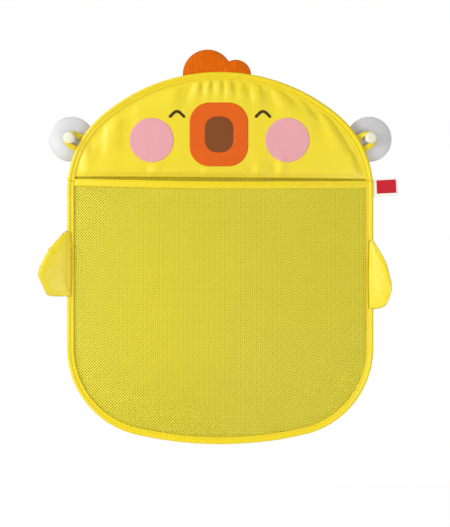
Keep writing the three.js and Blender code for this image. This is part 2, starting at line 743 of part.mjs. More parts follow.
function cupProfile() {
  const innerSeal = CUP_RADIUS - SEAL_WIDTH;
  const slope = (share) => [
    BOSS_RADIUS + (CUP_RADIUS - BOSS_RADIUS) * share,
    CUP_LIP + (DOME_HEIGHT - CUP_LIP) * (1 - share ** 2),
  ];
  const vault = (share) => [innerSeal * share, CAVITY_DEPTH * (1 - share ** 2)];
  const slopeShares = [1, 0.8, 0.6, 0.4, 0.2, 0];
  const vaultShares = [0, 0.4, 0.75, 1];
  return [
    [0, SOCKET_FLOOR],
    [SOCKET_RADIUS, SOCKET_FLOOR],
    [SOCKET_RADIUS, BOSS_FRONT],
    [BOSS_RADIUS, BOSS_FRONT],
    ...slopeShares.toReversed().map(slope),
    [CUP_RADIUS, 0],
    ...vaultShares.toReversed().map(vault),
  ];
}

function knobProfile() {
  const stud = SOCKET_RADIUS - STUD_GAP;
  const flangeBack = BOSS_FRONT + FIT_GAP;
  const flangeFront = flangeBack + FLANGE_THICKNESS;
  const neckFront = flangeFront + NECK_LENGTH;
  const headFront = neckFront + HEAD_LENGTH;
  const edge = HEAD_LENGTH / 5;
  return [
    [0, headFront],
    [HEAD_RADIUS / 2, headFront - edge / 4],
    [HEAD_RADIUS - edge, headFront - edge],
    [HEAD_RADIUS, headFront - 2 * edge],
    [HEAD_RADIUS, neckFront + edge / 2],
    [HEAD_RADIUS - edge / 2, neckFront],
    [NECK_RADIUS, neckFront],
    [NECK_RADIUS, flangeFront],
    [FLANGE_RADIUS, flangeFront],
    [FLANGE_RADIUS, flangeBack],
    [stud, flangeBack],
    [stud, SOCKET_FLOOR + FIT_GAP],
    [0, SOCKET_FLOOR + FIT_GAP],
  ];
}

// A loop of tape on edge round the knob's neck. Its shape: x away from the bag, y along the rim.
function loopShape() {
  const inner = NECK_RADIUS + FIT_GAP;
  const outer = inner + LOOP_THICKNESS;
  const rootOuter = LOOP_ROOT_HALF + LOOP_THICKNESS;
  const shape = new THREE.Shape();
  shape.moveTo(LOOP_ROOT_GAP, -rootOuter);
  shape.lineTo(LOOP_REACH, -outer);
  shape.absarc(LOOP_REACH, 0, outer, -Math.PI / 2, Math.PI / 2, false);
  shape.lineTo(LOOP_ROOT_GAP, rootOuter);
  shape.lineTo(LOOP_ROOT_GAP, LOOP_ROOT_HALF);
  shape.lineTo(LOOP_REACH, inner);
  shape.absarc(LOOP_REACH, 0, inner, Math.PI / 2, -Math.PI / 2, true);
  shape.lineTo(LOOP_ROOT_GAP, -LOOP_ROOT_HALF);
  shape.closePath();
  return shape;
}

function addHook(name, side) {
  const cup = addPiece(`${name}_suction_cup`, turned(cupProfile()), 'clear');
  const knob = addPiece(`${name}_knob`, turned(knobProfile()), 'white');
  cup.position.x = side * CUP_X;
  knob.position.x = side * CUP_X;
  const away = new THREE.Vector3(side * (CUP_X - HEAD.cornerX), 0, -SHOULDER_Z).normalize();
  const root = new THREE.Vector3(side * HEAD.cornerX, 0, SHOULDER_Z);
  root.addScaledVector(away, HEAD.cornerRadius);
  const neckMiddle = BOSS_FRONT + FIT_GAP + FLANGE_THICKNESS + NECK_LENGTH / 2;
  root.y = LOOP_WIDTH / 2 - neckMiddle;
  const arcSteps = 5;
  const settings = { depth: LOOP_WIDTH, bevelEnabled: false, curveSegments: arcSteps };
  const strap = new THREE.ExtrudeGeometry(loopShape(), settings);
  const loop = addPiece(`${name}_hanging_loop`, strap, 'binding');
  const along = new THREE.Vector3().crossVectors(TOWARDS_ROOM, away);
  loop.quaternion.setFromRotationMatrix(new THREE.Matrix4().makeBasis(away, along, TOWARDS_ROOM));
  loop.position.copy(root);
}

addHoop();
addFerrule();
addBindings();
addFacePanel();
addNets();
addMouth();
addFace();
addComb();
addWing('left_wing', WINGS.left);
addWing('right_wing', WINGS.right);
addLabel();
addHook('left', -1);
addHook('right', 1);

export default organizer;
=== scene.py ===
"""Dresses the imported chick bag: cloth, nets, stitching, padded wings and comb, loops and cups.

Metres, in the CAD's frame: +X right as seen from the room, +Y into the wall, +Z up. Left and
right are the viewer's. Sizes that belong to the bag's construction repeat part.mjs.
"""

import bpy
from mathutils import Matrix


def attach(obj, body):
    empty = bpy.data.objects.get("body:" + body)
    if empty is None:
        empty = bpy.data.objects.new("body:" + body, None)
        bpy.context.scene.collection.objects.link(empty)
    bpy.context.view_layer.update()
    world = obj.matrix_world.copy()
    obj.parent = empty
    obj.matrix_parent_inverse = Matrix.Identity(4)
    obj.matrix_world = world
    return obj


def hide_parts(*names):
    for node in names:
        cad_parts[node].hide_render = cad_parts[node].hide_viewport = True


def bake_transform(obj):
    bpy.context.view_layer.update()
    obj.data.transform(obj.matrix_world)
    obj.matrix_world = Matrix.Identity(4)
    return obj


bl_info = {
    "name": "Chick bath bag",
    "version": (1, 0, 0),
    "blender": (4, 5, 0),
    "location": "3D View > Sidebar > Chick bag",
    "description": "Models the cloth, nets, stitching and fittings of a hanging bath toy bag",
    "category": "Add Mesh",
}

import math

import bmesh
import bpy
from bpy.props import FloatProperty, FloatVectorProperty, PointerProperty
from mathutils import Matrix, Vector, noise

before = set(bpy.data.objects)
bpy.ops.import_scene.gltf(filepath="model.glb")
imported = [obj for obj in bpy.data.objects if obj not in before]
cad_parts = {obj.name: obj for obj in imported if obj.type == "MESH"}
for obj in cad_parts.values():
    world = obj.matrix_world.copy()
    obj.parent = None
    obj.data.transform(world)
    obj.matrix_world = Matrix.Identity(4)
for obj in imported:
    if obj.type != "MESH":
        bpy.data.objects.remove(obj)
bpy.context.view_layer.update()

MM = 0.001
TO_ROOM = Vector((0, -1, 0))
FACING = Matrix.Rotation(math.pi / 2, 4, "X")
SIDES = (("left", -1), ("right", 1))

# Layers, by their distance from the wall, and how thick they are
RIM_Y = -13 * MM
PANEL_Y = RIM_Y - 0.8 * MM
BACK_Y = RIM_Y + 0.8 * MM
CLOTH = 0.4 * MM
INK = 0.1 * MM

# How far inside the rim's outside the sheets end, and where the binding's lip lets them go
SHEET_INSET = 5.6 * MM
LIP_INSET = 8.7 * MM

# Face panel: its lower edge and that edge's turned-up hem
HEM_Z = -45.6 * MM
HEM_SLOPE = 0.008
HEM_TURN = 5 * MM
HEM_STITCHES = 4.4 * MM

# Binding: its flat width, its bead round the hoop and the inset of its stitches
BEAD_RADIUS = 2.6 * MM
RIM_STITCHES = BEAD_RADIUS + 4.5 * MM
PUCKER_SEED = 1

# Stitches, on the rim, the hem and the mouth tape
STITCH_LENGTH = 2.3 * MM
STITCH_PITCH = 3.2 * MM
STITCH_REACH = 166 * MM
THREAD_RADIUS = 0.24 * MM

# Mouth of the pocket
MOUTH_Z = -49.5 * MM
MOUTH_SAG = 1.7 * MM
MOUTH_LEFT_LIFT = 2.3 * MM
TAPE_HEIGHT = 8.6 * MM
TAPE_HALF = 171.4 * MM
TAPE_STITCHES = -5.6 * MM
BELLY_SHARE = 0.35

# Nets: one spacing both ways; the threads across those that slant up to the right are finer
NET_PITCH = 2.35 * MM
CROSS_THREAD_SHARE = 0.4
POCKET_THREAD_HALF = 0.56 * MM
BACK_THREAD_HALF = 0.4 * MM
THREAD_RIDGE = 0.3 * MM

# Wings and comb: the wings' seams, and how full the padding is
WING_Y = -16.9 * MM

# Label, folded double
LABEL_X = 177.8 * MM
LABEL_TOP = -47.8 * MM
LABEL_HEIGHT = 20 * MM
LABEL_REACH = 27.8 * MM
LABEL_SKEW = 0.05

# Suction cups, knobs and loops
CUP_X = 174.52 * MM
NECK_Y = -13.9 * MM
NECK_RADIUS = 4.8 * MM
LOOP_REACH = 12.1 * MM
LOOP_WIDTH = 6.5 * MM
LOOP_ROOT_Y = -9.75 * MM


def length(name, description, default):
    """A size that a user would change, in metres."""
    return FloatProperty(
        name=name, description=description, default=default, unit="LENGTH", precision=5
    )


def linear(hex_code):
    """A colour written as sRGB hex, as the linear values that a shader takes."""
    values = [int(hex_code[i : i + 2], 16) / 255 for i in (1, 3, 5)]
    return [v / 12.92 if v <= 0.04045 else ((v + 0.055) / 1.055) ** 2.4 for v in values]


def colour(name, description, hex_code):
    """A colour that a user would change."""
    return FloatVectorProperty(
        name=name,
        description=description,
        default=linear(hex_code),
        subtype="COLOR",
        min=0,
        max=1,
    )


class ChickBagSizes(bpy.types.PropertyGroup):
    """The bag's outline, measured to the outside of its binding, and how far it bulges."""

    half_width: length("Half width", "From the middle to the rim's outside", 178 * MM)
    shoulder_z: length("Shoulder", "Height where the head's arcs end", -61 * MM)
    head_rise: length("Head rise", "From the shoulder to the top of the head", 138 * MM)
    hip_z: length("Hip", "Height where the seat's arcs start", -243.5 * MM)
    seat_drop: length("Seat drop", "From the hip to the lowest point", 112 * MM)
    seam_z: length("Seam", "Height where the two bindings meet", -49 * MM)
    belly: length("Belly", "How far the pocket stands out", 24 * MM)
    mouth_depth: length("Mouth depth", "How far the mouth stands open", 13 * MM)


class ChickBagColours(bpy.types.PropertyGroup):
    """The dyes of the cloths and the colours of the plastics."""

    satin: colour("Satin", "Face panel and wings", "#efd916")
    tape: colour("Tape", "Binding, mouth tape and loops", "#f1d810")
    net: colour("Net", "Back and pocket nets", "#f4e93c")
    comb: colour("Comb", "Fleece of the comb", "#e46902")
    beak: colour("Beak", "Printed beak", "#e2610e")
    mouth: colour("Mouth", "Printed mouth", "#7c441a")
    cheek: colour("Cheek", "Printed cheeks", "#e8a6ae")
    eye: colour("Eye", "Printed eyes", "#3f2a12")
    vinyl: colour("Vinyl", "Suction cups", "#dfe0e4")
    knob: colour("Knob", "Knobs", "#ece7d6")
    ribbon: colour("Ribbon", "Ground of the label", "#fbfbf6")
    band: colour("Band", "Block woven in the label", "#d0122a")


def sizes():
    """The sizes that the user may change."""
    return bpy.context.scene.chick_bag_sizes


def dyes():
    """The colours that the user may change."""
    return bpy.context.scene.chick_bag_colours


class RoundEnd:
    """One end of the outline: a wide arc that turns into a tighter one on each side."""

    def __init__(self, half_width, side_z, rise, corner_share):
        height = abs(rise)
        self.sign = math.copysign(1, rise)
        self.side_z = side_z
        self.corner = height * corner_share
        self.corner_x = half_width - self.corner
        spread = height - self.corner
        self.crown = self.corner + (self.corner_x**2 + spread**2) / (2 * spread)
        self.crown_z = side_z + rise - self.sign * self.crown
        self.turn = math.asin(self.corner_x / (self.crown - self.corner))

    def height(self, x, inset):
        """The outline's height at x, moved in by the inset."""
        crown, corner, out = self.crown - inset, self.corner - inset, abs(x)
        if out < crown * math.sin(self.turn):
            return self.crown_z + self.sign * math.sqrt(crown**2 - out**2)
        rise = math.sqrt(max(0, corner**2 - (out - self.corner_x) ** 2))
        return self.side_z + self.sign * rise

    def inset_of(self, x, z):
        """How far a point beyond side_z lies inside the outline."""
        out, rise = abs(x), self.sign * (z - self.crown_z)
        if rise > 0 and math.atan2(out, rise) < self.turn:
            return self.crown - math.hypot(out, rise)
        return self.corner - math.hypot(out - self.corner_x, z - self.side_z)


class Bag:
    """Where the bag's rim, panel and pocket lie, from the sizes in the scene."""

    HEAD_CORNER_SHARE = 0.834
    SEAT_CORNER_SHARE = 0.924

    def __init__(self):
        size = sizes()
        self.half = size.half_width
        head, seat = self.HEAD_CORNER_SHARE, self.SEAT_CORNER_SHARE
        self.head = RoundEnd(self.half, size.shoulder_z, size.head_rise, head)
        self.seat = RoundEnd(self.half, size.hip_z, -size.seat_drop, seat)
        self.seam_turn = math.asin((size.seam_z - size.shoulder_z) / self.head.corner)
        self.free_half = self.half - LIP_INSET
        self.belly = size.belly
        self.mouth_depth = size.mouth_depth

    def inset_of(self, x, z):
        """How far a point lies inside the rim's outside."""
        if z > self.head.side_z:
            return self.head.inset_of(x, z)
        if z < self.seat.side_z:
            return self.seat.inset_of(x, z)
        return self.half - abs(x)

    def across(self, x):
        """How far a taut cloth stands out, from 0 at both sides to 1 in the middle."""
        return max(0, 1 - (x / self.free_half) ** 2)

    def mouth_height(self, x):
        """The upper edge of the mouth tape, which sags and sits higher on the left."""
        lift = MOUTH_LEFT_LIFT * smooth(-x, 0, self.half)
        return MOUTH_Z - MOUTH_SAG * self.across(x) + lift

    def pocket_depth(self, x, z):
        """How far the pocket's net stands out from its plane at the rim."""
        low = self.seat.height(x, LIP_INSET)
        high = self.mouth_height(x) - TAPE_HEIGHT
        up = min(1, max(0, (z - low) / (high - low)))
        if up < BELLY_SHARE:
            share = math.sin(up / BELLY_SHARE * math.pi / 2)
        else:
            drawn_in = 1 - self.mouth_depth / self.belly
            share = 1 - smooth(up, BELLY_SHARE, 1) * drawn_in
        return self.belly * self.across(x) * share

    def head_moves(self):
        """The rim over the head, clockwise from the left-hand seam: centre, radius, angle, run."""
        head, turn = self.head, self.head.turn
        corner = math.pi / 2 - turn - self.seam_turn
        return (
            (Vector((-head.corner_x, 0, head.side_z)), head.corner, corner, 0),
            (Vector((0, 0, head.crown_z)), head.crown, 2 * turn, 0),
            (Vector((head.corner_x, 0, head.side_z)), head.corner, corner, 0),
        )

    def body_moves(self):
        """The rest of the rim, clockwise from the right-hand seam."""
        head, seat, turn = self.head, self.seat, self.seat.turn
        corner, drop = math.pi / 2 - turn, head.side_z - seat.side_z
        return (
            (Vector((head.corner_x, 0, head.side_z)), head.corner, self.seam_turn, 0),
            (None, 0, 0, -drop),
            (Vector((seat.corner_x, 0, seat.side_z)), seat.corner, corner, 0),
            (Vector((0, 0, seat.crown_z)), seat.crown, 2 * turn, 0),
            (Vector((-seat.corner_x, 0, seat.side_z)), seat.corner, corner, 0),
            (None, 0, 0, drop),
            (Vector((-head.corner_x, 0, head.side_z)), head.corner, self.seam_turn, 0),
        )

    def seam_place(self, side, inset, y):
        """A point on the seam between the two bindings, with the way along the rim there."""
        out = Vector((side * math.cos(self.seam_turn), 0, math.sin(self.seam_turn)))
        place = Vector((side * self.head.corner_x, 0, self.head.side_z))
        place += out * (self.head.corner - inset)
        place.y = y
        return place, out


def smooth(value, start, end):
    """0 before start, 1 after end, with an even curve between."""
    share = min(1, max(0, (value - start) / (end - start)))
    return share * share * (3 - 2 * share)


def ripple(x, z, period, seed=0.0):
    """Even random waves between about -1 and 1, of the given size."""
    return noise.noise(Vector((x / period, z / period, seed)))


def add_node(tree, kind, inputs=None, **settings):
    """Adds one node with its settings; each input takes a value or another node's output."""
    made = tree.nodes.new(kind)
    for name, value in settings.items():
        setattr(made, name, value)
    for socket, value in (inputs or {}).items():
        if isinstance(value, bpy.types.NodeSocket):
            tree.links.new(value, made.inputs[socket])
        else:
            made.inputs[socket].default_value = value
    return made


def open_material(name, values):
    """A material with one shader, and the node that gives its place in millimetres."""
    material = bpy.data.materials.new(name)
    material.use_nodes = True
    tree = material.node_tree
    shader = tree.nodes["Principled BSDF"]
    for socket, value in values.items():
        shader.inputs[socket].default_value = value
    place = add_node(tree, "ShaderNodeTexCoord").outputs["Object"]
    mapped = {"Vector": place, "Scale": (1 / MM, 1 / MM, 1 / MM)}
    return material, tree, shader, add_node(tree, "ShaderNodeMapping", mapped).outputs[0]


def wave_scale(period_mm):
    """The Wave Texture's scale that gives bands of this period."""
    return 2 * math.pi / 20 / period_mm


def shades(tree, factor, dark, light):
    """A colour between two, by a factor."""
    inputs = {0: factor, 6: (*dark, 1), 7: (*light, 1)}
    return add_node(tree, "ShaderNodeMix", inputs, data_type="RGBA").outputs[2]


def dress(tree, shader, base, height, strength, depth):
    """Gives the shader its colour, and a relief of this depth."""
    relief = {"Height": height, "Strength": strength, "Distance": depth}
    bump = add_node(tree, "ShaderNodeBump", relief)
    tree.links.new(base, shader.inputs["Base Color"])
    tree.links.new(bump.outputs[0], shader.inputs["Normal"])


def deeper(dye, share):
    """The same dye with less light in it; its blue falls most, so it stays clean."""
    return [dye[0] * share, dye[1] * share**1.15, dye[2] * share**2]


def cloth_material(name, dye, weave_mm, groove_mm, values, direction="DIAGONAL", cloud=0.1):
    """A woven cloth: bands of thread in relief, a dye that varies a little at random, and painted
    shade in the grooves between the threads.
    """
    material, tree, shader, place = open_material(name, values)
    wave = {"Vector": place, "Scale": wave_scale(weave_mm), "Distortion": 0.6}
    waves = add_node(tree, "ShaderNodeTexWave", wave, bands_direction=direction)
    threads = waves.outputs["Fac"]
    clouds = {"Vector": place, "Scale": 0.035, "Detail": 3}
    uneven = add_node(tree, "ShaderNodeTexNoise", clouds).outputs["Fac"]
    # Painted shade: the colour follows the relief and is deeper in the grooves between threads;
    # the clouds vary it at random
    mixed = {0: threads, 1: uneven, 2: 0.25}
    light = add_node(tree, "ShaderNodeMath", mixed, operation="MULTIPLY_ADD").outputs[0]
    base = shades(tree, light, deeper(dye, 1 - 2 * cloud), dye)
    dress(tree, shader, base, threads, 0.6, groove_mm * MM)
    return material


def satin(name, dye):
    # Polyester satin, woven with long floats and calendered: a soft shine that the folds catch.
    # Its threads are 0.1 mm and too fine to show, so the weave is drawn at 0.7 mm.
    values = {"Roughness": 0.42, "Specular IOR Level": 0.65}
    return cloth_material(name, dye, 0.7, 0.02, values, "X", 0.05)


def printed_satin(name, ink):
    # The same satin under a heat-transferred ink, which fills its threads: a flatter, duller face.
    values = {"Roughness": 0.55, "Specular IOR Level": 0.22}
    return cloth_material(name, ink, 0.7, 0.015, values, "X", 0.04)


def twill_tape(name, dye):
    # Polyester twill tape: slanted ribs about 0.8 mm apart, with a dull lustre on their tops.
    values = {"Roughness": 0.44, "Specular IOR Level": 0.45}
    return cloth_material(name, dye, 0.9, 0.04, values, "DIAGONAL", 0.05)


def net_yarn(name, dye):
    # Knitted polyester yarn, heat-set in the net: a slight gloss on filaments 0.25 mm wide.
    values = {"Roughness": 0.45, "Specular IOR Level": 0.5}
    return cloth_material(name, dye, 0.35, 0.04, values, "DIAGONAL", 0.06)


def painted_hole_shade(name, dye):
    # Painted shade: a sheet in a duller, deeper dye closes the holes of the knit and stands in for
    # the shade seen through them.
    values = {"Roughness": 0.7, "Specular IOR Level": 0.1}
    return cloth_material(name, deeper(dye, 0.6), 0.35, 0.04, values, "DIAGONAL", 0.1)


def sewing_thread(name, dye):
    # Spun polyester thread with a 0.5 mm twist.
    return cloth_material(name, dye, 0.5, 0.05, {"Roughness": 0.6}, "DIAGONAL", 0.06)


def fleece(name, dye):
    # Short-pile polar fleece, brushed upwards: hardly any shine, a faint fuzz at the edges, and
    # streaks of pile about 0.7 mm wide.
    values = {"Roughness": 0.95, "Specular IOR Level": 0.12, "Sheen Weight": 0.06}
    material, tree, shader, place = open_material(name, values)
    upwards = {"Vector": place, "Scale": (1, 1, 0.12)}
    brushed = add_node(tree, "ShaderNodeMapping", upwards).outputs[0]
    tuft = {"Vector": brushed, "Scale": 0.7, "Detail": 3}
    tufts = add_node(tree, "ShaderNodeTexNoise", tuft).outputs["Fac"]
    hair = {"Vector": place, "Scale": 1.6, "Detail": 6}
    fuzz = add_node(tree, "ShaderNodeTexNoise", hair).outputs["Fac"]
    both = {0: tufts, 1: fuzz}
    pile = add_node(tree, "ShaderNodeMath", both, operation="ADD").outputs[0]
    spread = {"Value": tufts, "From Min": 0.35, "From Max": 0.65}
    streaks = add_node(tree, "ShaderNodeMapRange", spread).outputs[0]
    base = shades(tree, streaks, deeper(dye, 0.82), dye)
    dress(tree, shader, base, pile, 0.6, 0.3 * MM)
    return material


def plastic(name, tint, values, grain_mm, depth_mm, cloud):
    """A moulded plastic: a fine surface grain, and a tint that varies a little."""
    material, tree, shader, place = open_material(name, values)
    grain = {"Vector": place, "Scale": 1 / grain_mm, "Detail": 4}
    pitted = add_node(tree, "ShaderNodeTexNoise", grain).outputs["Fac"]
    clouds = {"Vector": place, "Scale": 0.08, "Detail": 2}
    uneven = add_node(tree, "ShaderNodeTexNoise", clouds).outputs["Fac"]
    base = shades(tree, uneven, deeper(tint, 1 - cloud), tint)
    dress(tree, shader, base, pitted, 0.4, depth_mm * MM)
    return material


def soft_vinyl(name, tint):
    # Plasticised PVC, moulded in a polished tool: milky, lets some light through, oily gloss.
    values = {"Roughness": 0.42, "IOR": 1.5, "Transmission Weight": 0.2}
    return plastic(name, tint, values, 3, 0.05, 0.06)


def moulded_abs(name, tint):
    # ABS moulded in a fine-grained tool, slightly yellowed: an even, soft highlight.
    values = {"Roughness": 0.36, "IOR": 1.54, "Subsurface Weight": 0.15}
    values["Subsurface Radius"] = (2 * MM, 1.5 * MM, MM)
    return plastic(name, tint, values, 1.2, 0.02, 0.07)


def coated_wire(name, tint):
    # Spring wire under dipped PVC: even colour, waxy highlight.
    return plastic(name, tint, {"Roughness": 0.4}, 0.8, 0.03, 0.1)


def plated_steel(name, tint):
    # Nickel-plated steel tube, crimped: a dulled metal shine with drawing lines.
    values = {"Roughness": 0.32, "Metallic": 1}
    return plastic(name, tint, values, 0.5, 0.02, 0.15)


def woven_ribbon(name, ground, band):
    # Satin ribbon with a block in a second weft: rows about 0.3 mm apart, drawn at 0.6 mm so
    # that they show. The block sits a little skew, as the ribbon does.
    values = {"Roughness": 0.5, "Specular IOR Level": 0.25}
    material, tree, shader, place = open_material(name, values)
    wave = {"Vector": place, "Scale": wave_scale(0.6), "Distortion": 0.4}
    waves = add_node(tree, "ShaderNodeTexWave", wave, bands_direction="Z")
    rows = waves.outputs["Fac"]
    block = {
        "Vector": place,
        "Location": (193, 0, -56.3),
        "Rotation": (0, -LABEL_SKEW, 0),
        "Scale": (11.4, 1, 7.8),
    }
    spot = add_node(tree, "ShaderNodeMapping", block, vector_type="TEXTURE").outputs[0]
    split = add_node(tree, "ShaderNodeSeparateXYZ", {0: spot}).outputs
    across, up = (
        add_node(tree, "ShaderNodeMath", {0: split[k]}, operation="ABSOLUTE").outputs[0]
        for k in ("X", "Z")
    )
    out = {0: across, 1: up}
    far = add_node(tree, "ShaderNodeMath", out, operation="MAXIMUM").outputs[0]
    near = {0: far, 1: 1}
    inside = add_node(tree, "ShaderNodeMath", near, operation="LESS_THAN").outputs[0]
    # Painted shade: the ground and the block are deeper in the grooves between the rows
    white = shades(tree, rows, deeper(ground, 0.9), ground)
    red = shades(tree, rows, deeper(band, 0.75), band)
    both = {0: inside, 6: white, 7: red}
    base = add_node(tree, "ShaderNodeMix", both, data_type="RGBA").outputs[2]
    dress(tree, shader, base, rows, 0.5, 0.04 * MM)
    return material


def add_piece(name, bm, material, body, slot, replaces=()):
    """Turns a finished bmesh into a piece that rides on a body."""
    mesh = bpy.data.meshes.new(name)
    bm.to_mesh(mesh)
    bm.free()
    mesh.materials.append(material)
    mesh.shade_smooth()
    piece = bpy.data.objects.new(name, mesh)
    bpy.context.scene.collection.objects.link(piece)
    if body:
        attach(piece, body)
    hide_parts(*replaces)
    return piece


def thicken(piece, thickness):
    """Gives a sheet its thickness, half on each side."""
    solid = piece.modifiers.new("Thickness", "SOLIDIFY")
    solid.thickness = thickness
    solid.offset = 0


def follow_rim(bm, geometry, moves, step, inset=0.0, copies=False):
    """Sweeps a section, or copies a stitch, along the rim in steps of about one length."""
    for centre, radius, angle, run in moves:
        travel = abs(run) if centre is None else (radius - inset) * angle
        steps = max(1, round(travel / step))
        geometry = bmesh.ops.spin(
            bm,
            geom=geometry,
            cent=centre or Vector(),
            axis=(0, 1, 0),
            dvec=(0, 0, run / steps),
            angle=angle,
            steps=steps,
            use_duplicate=copies,
        )["geom_last"]


def binding_section():
    """The folded tape round its hoop, as (inset from the bead's middle, depth) in mm."""
    bead = [
        (-BEAD_RADIUS / MM * math.cos(turn), BEAD_RADIUS / MM * math.sin(turn))
        for turn in (k * math.pi / 12 for k in range(10))
    ]
    lip = [(2.5, 1.3), (2.9, 1.34), (3.5, 1.62), (4.3, 1.74), (5.2, 1.7), (5.75, 1.5)]
    slot = [(5.8, 1.2), (5.0, 1.15), (3.0, 1.15), (1.66, 1.15)]
    bore = [
        (-2 * math.cos(turn), 2 * math.sin(turn))
        for turn in (math.radians(a) for a in (120, 90, 60, 30, 0))
    ]
    half = bead + lip + slot + bore
    return half, [(u, -v) for u, v in reversed(half[1:-1])]


def rim_binding(name, bag, moves, side, material, replaces):
    """One length of the rim's tape, swept from the seam on its side, and puckered a little."""
    outer, mirrored = binding_section()
    bm = bmesh.new()
    corners = []
    for u, v in outer + mirrored:
        place, _ = bag.seam_place(side, BEAD_RADIUS + u * MM, RIM_Y - v * MM)
        corners.append(bm.verts.new(place))
    face = bm.faces.new(corners)
    follow_rim(bm, [face, *face.edges, *face.verts], moves, 2.4 * MM)
    bmesh.ops.recalc_face_normals(bm, faces=bm.faces)
    pucker_size, pucker_mm = 6 * MM, 0.16
    # Without a seed, noise_vector takes its place in the noise from the clock
    noise.seed_set(PUCKER_SEED)
    for vert in bm.verts:
        along = vert.co.x + vert.co.z
        pucker = noise.noise_vector(Vector((vert.co.x, along, vert.co.z)) / pucker_size)
        vert.co += pucker * pucker_mm * MM
    return add_piece(name, bm, material, "bag", "binding", replaces)


def rim_stitches(name, bag, moves, side, material):
    """Two rows of thread through the lips of the binding, front and back."""
    bm = bmesh.new()
    for depth in (-1.8 * MM, 1.8 * MM):
        place, out = bag.seam_place(side, RIM_STITCHES, RIM_Y + depth)
        along = TO_ROOM.cross(out)
        turn = Matrix((along, TO_ROOM, out)).transposed().to_4x4()
        stitch = bmesh.ops.create_icosphere(
            bm, subdivisions=1, radius=1, matrix=stitch_matrix(place, turn)
        )["verts"]
        faces = {face for vert in stitch for face in vert.link_faces}
        edges = {edge for vert in stitch for edge in vert.link_edges}
        stitches = [*stitch, *edges, *faces]
        follow_rim(bm, stitches, moves, STITCH_PITCH, RIM_STITCHES, True)
    add_piece(name, bm, material, "bag", "binding")


def stitch_matrix(place, turn):
    """One stitch, lying along the first axis of its turn."""
    size = Matrix.Diagonal((STITCH_LENGTH / 2, THREAD_RADIUS, THREAD_RADIUS, 1))
    return Matrix.Translation(place) @ turn @ size


def stitch_row(bm, point):
    """A row of stitches from side to side, along a curve that is given by its x."""
    count = round(2 * STITCH_REACH / STITCH_PITCH)
    for k in range(count):
        x = -STITCH_REACH + 2 * STITCH_REACH * (k + 0.5) / count
        ahead = point(x + 0.5 * MM) - point(x - 0.5 * MM)
        turn = ahead.to_track_quat("X", "Z").to_matrix().to_4x4()
        bmesh.ops.create_icosphere(
            bm, subdivisions=1, radius=1, matrix=stitch_matrix(point(x), turn)
        )


# Folds of the face panel, in mm: x, z at the held end, x, z at the free end, half width, lift
PANEL_FOLDS = (
    (-52, 54, -60, 28, 10, 1.0),
    (-34, 60, -42, 38, 5, -0.8),
    (-24, 67, -27, 46, 3.5, 1.3),
    (-20, 67, -22, 46, 2.8, -0.7),
    (-12, 68, -14, 46, 3, 1.3),
    (-8, 68, -10, 48, 2.6, -0.7),
    (0.5, 68, -2, 45, 3.5, 1.3),
    (4.5, 68, 4.5, 47, 3, -0.7),
    (11, 67, 12, 44, 4.5, 1.1),
    (17.5, 67, 18, 44, 3.5, -0.6),
    (25, 66, 27, 42, 4, 0.5),
    (33, 65, 36, 36, 4, -0.8),
    (43, 63, 46, 32, 5.5, 1.1),
    (53, 61, 66, 32, 6, -1.0),
    (67, 58, 88, 22, 8, 1.2),
    (79, 54, 101, 22, 7, -1.1),
    (92, 47, 112, 4, 8.5, 1.2),
    (106, 38, 124, -4, 7, -1.1),
    (122, 27, 149, -24, 8.5, 1.3),
    (136, 18, 160, -28, 6.5, -1.1),
    (152, -22, 157, -46, 6, 1.0),
    (-156, -12, -159, -36, 8, 1.0),
    (-137, 6, -142, -28, 8, -0.9),
    (-121, 16, -125, -22, 10, 1.0),
    (-104, 34, -106, 6, 9, -0.6),
    (-79, -47, -70, -26, 5, 0.6),
    (-86, -46, -86, -28, 5.5, -0.5),
    (-16, -47, -13, -32, 5, 0.6),
    (-23, -46, -25, -30, 5, -0.5),
    (44, -47, 47, -26, 6, 0.75),
    (37, -47, 36, -24, 5.5, -0.7),
    (71, -47, 72, -18, 5.5, 0.75),
    (64, -47, 62, -18, 5.5, -0.8),
)


def hem_height(x):
    """The lower edge of the face panel, which hangs a little lower on the right."""
    return HEM_Z - HEM_SLOPE * x


def panel_relief(bag, x, z):
    """How far the face panel stands out of its plane, in folds that the rim holds down."""
    spot = Vector((x, z)) / MM
    inset = bag.inset_of(x, z)
    # In mm: an even puff with broad waves, small waves over all, and then each fold
    puff = smooth(inset, LIP_INSET, LIP_INSET + 14 * MM)
    lift = (1.9 + 0.7 * ripple(x, z, 42 * MM)) * puff + 0.15 * ripple(x, z, 13 * MM, 4)
    for x0, z0, x1, z1, half_width, rise in PANEL_FOLDS:
        start, way = Vector((x0, z0)), Vector((x1 - x0, z1 - z0))
        share = min(1, max(0, (spot - start).dot(way) / way.length_squared))
        gap = spot - start - way * share
        # A fold widens and fades to its free end, and is steeper on its right flank
        half_width *= 0.8 + 0.5 * share
        steep = min(1, max(-1, gap.x / half_width))
        off = gap.length / half_width / (1.02 - 0.27 * steep)
        if off < 2.5:
            lift += rise * (1.25 - 0.9 * smooth(share, 0.5, 1)) * math.exp(-off * off)
    held = smooth(inset, LIP_INSET - 0.5 * MM, LIP_INSET + 5 * MM)
    hem = hem_height(x)
    return max(0, lift) * MM * held * (0.25 + 0.75 * smooth(z, hem, hem + 7 * MM))


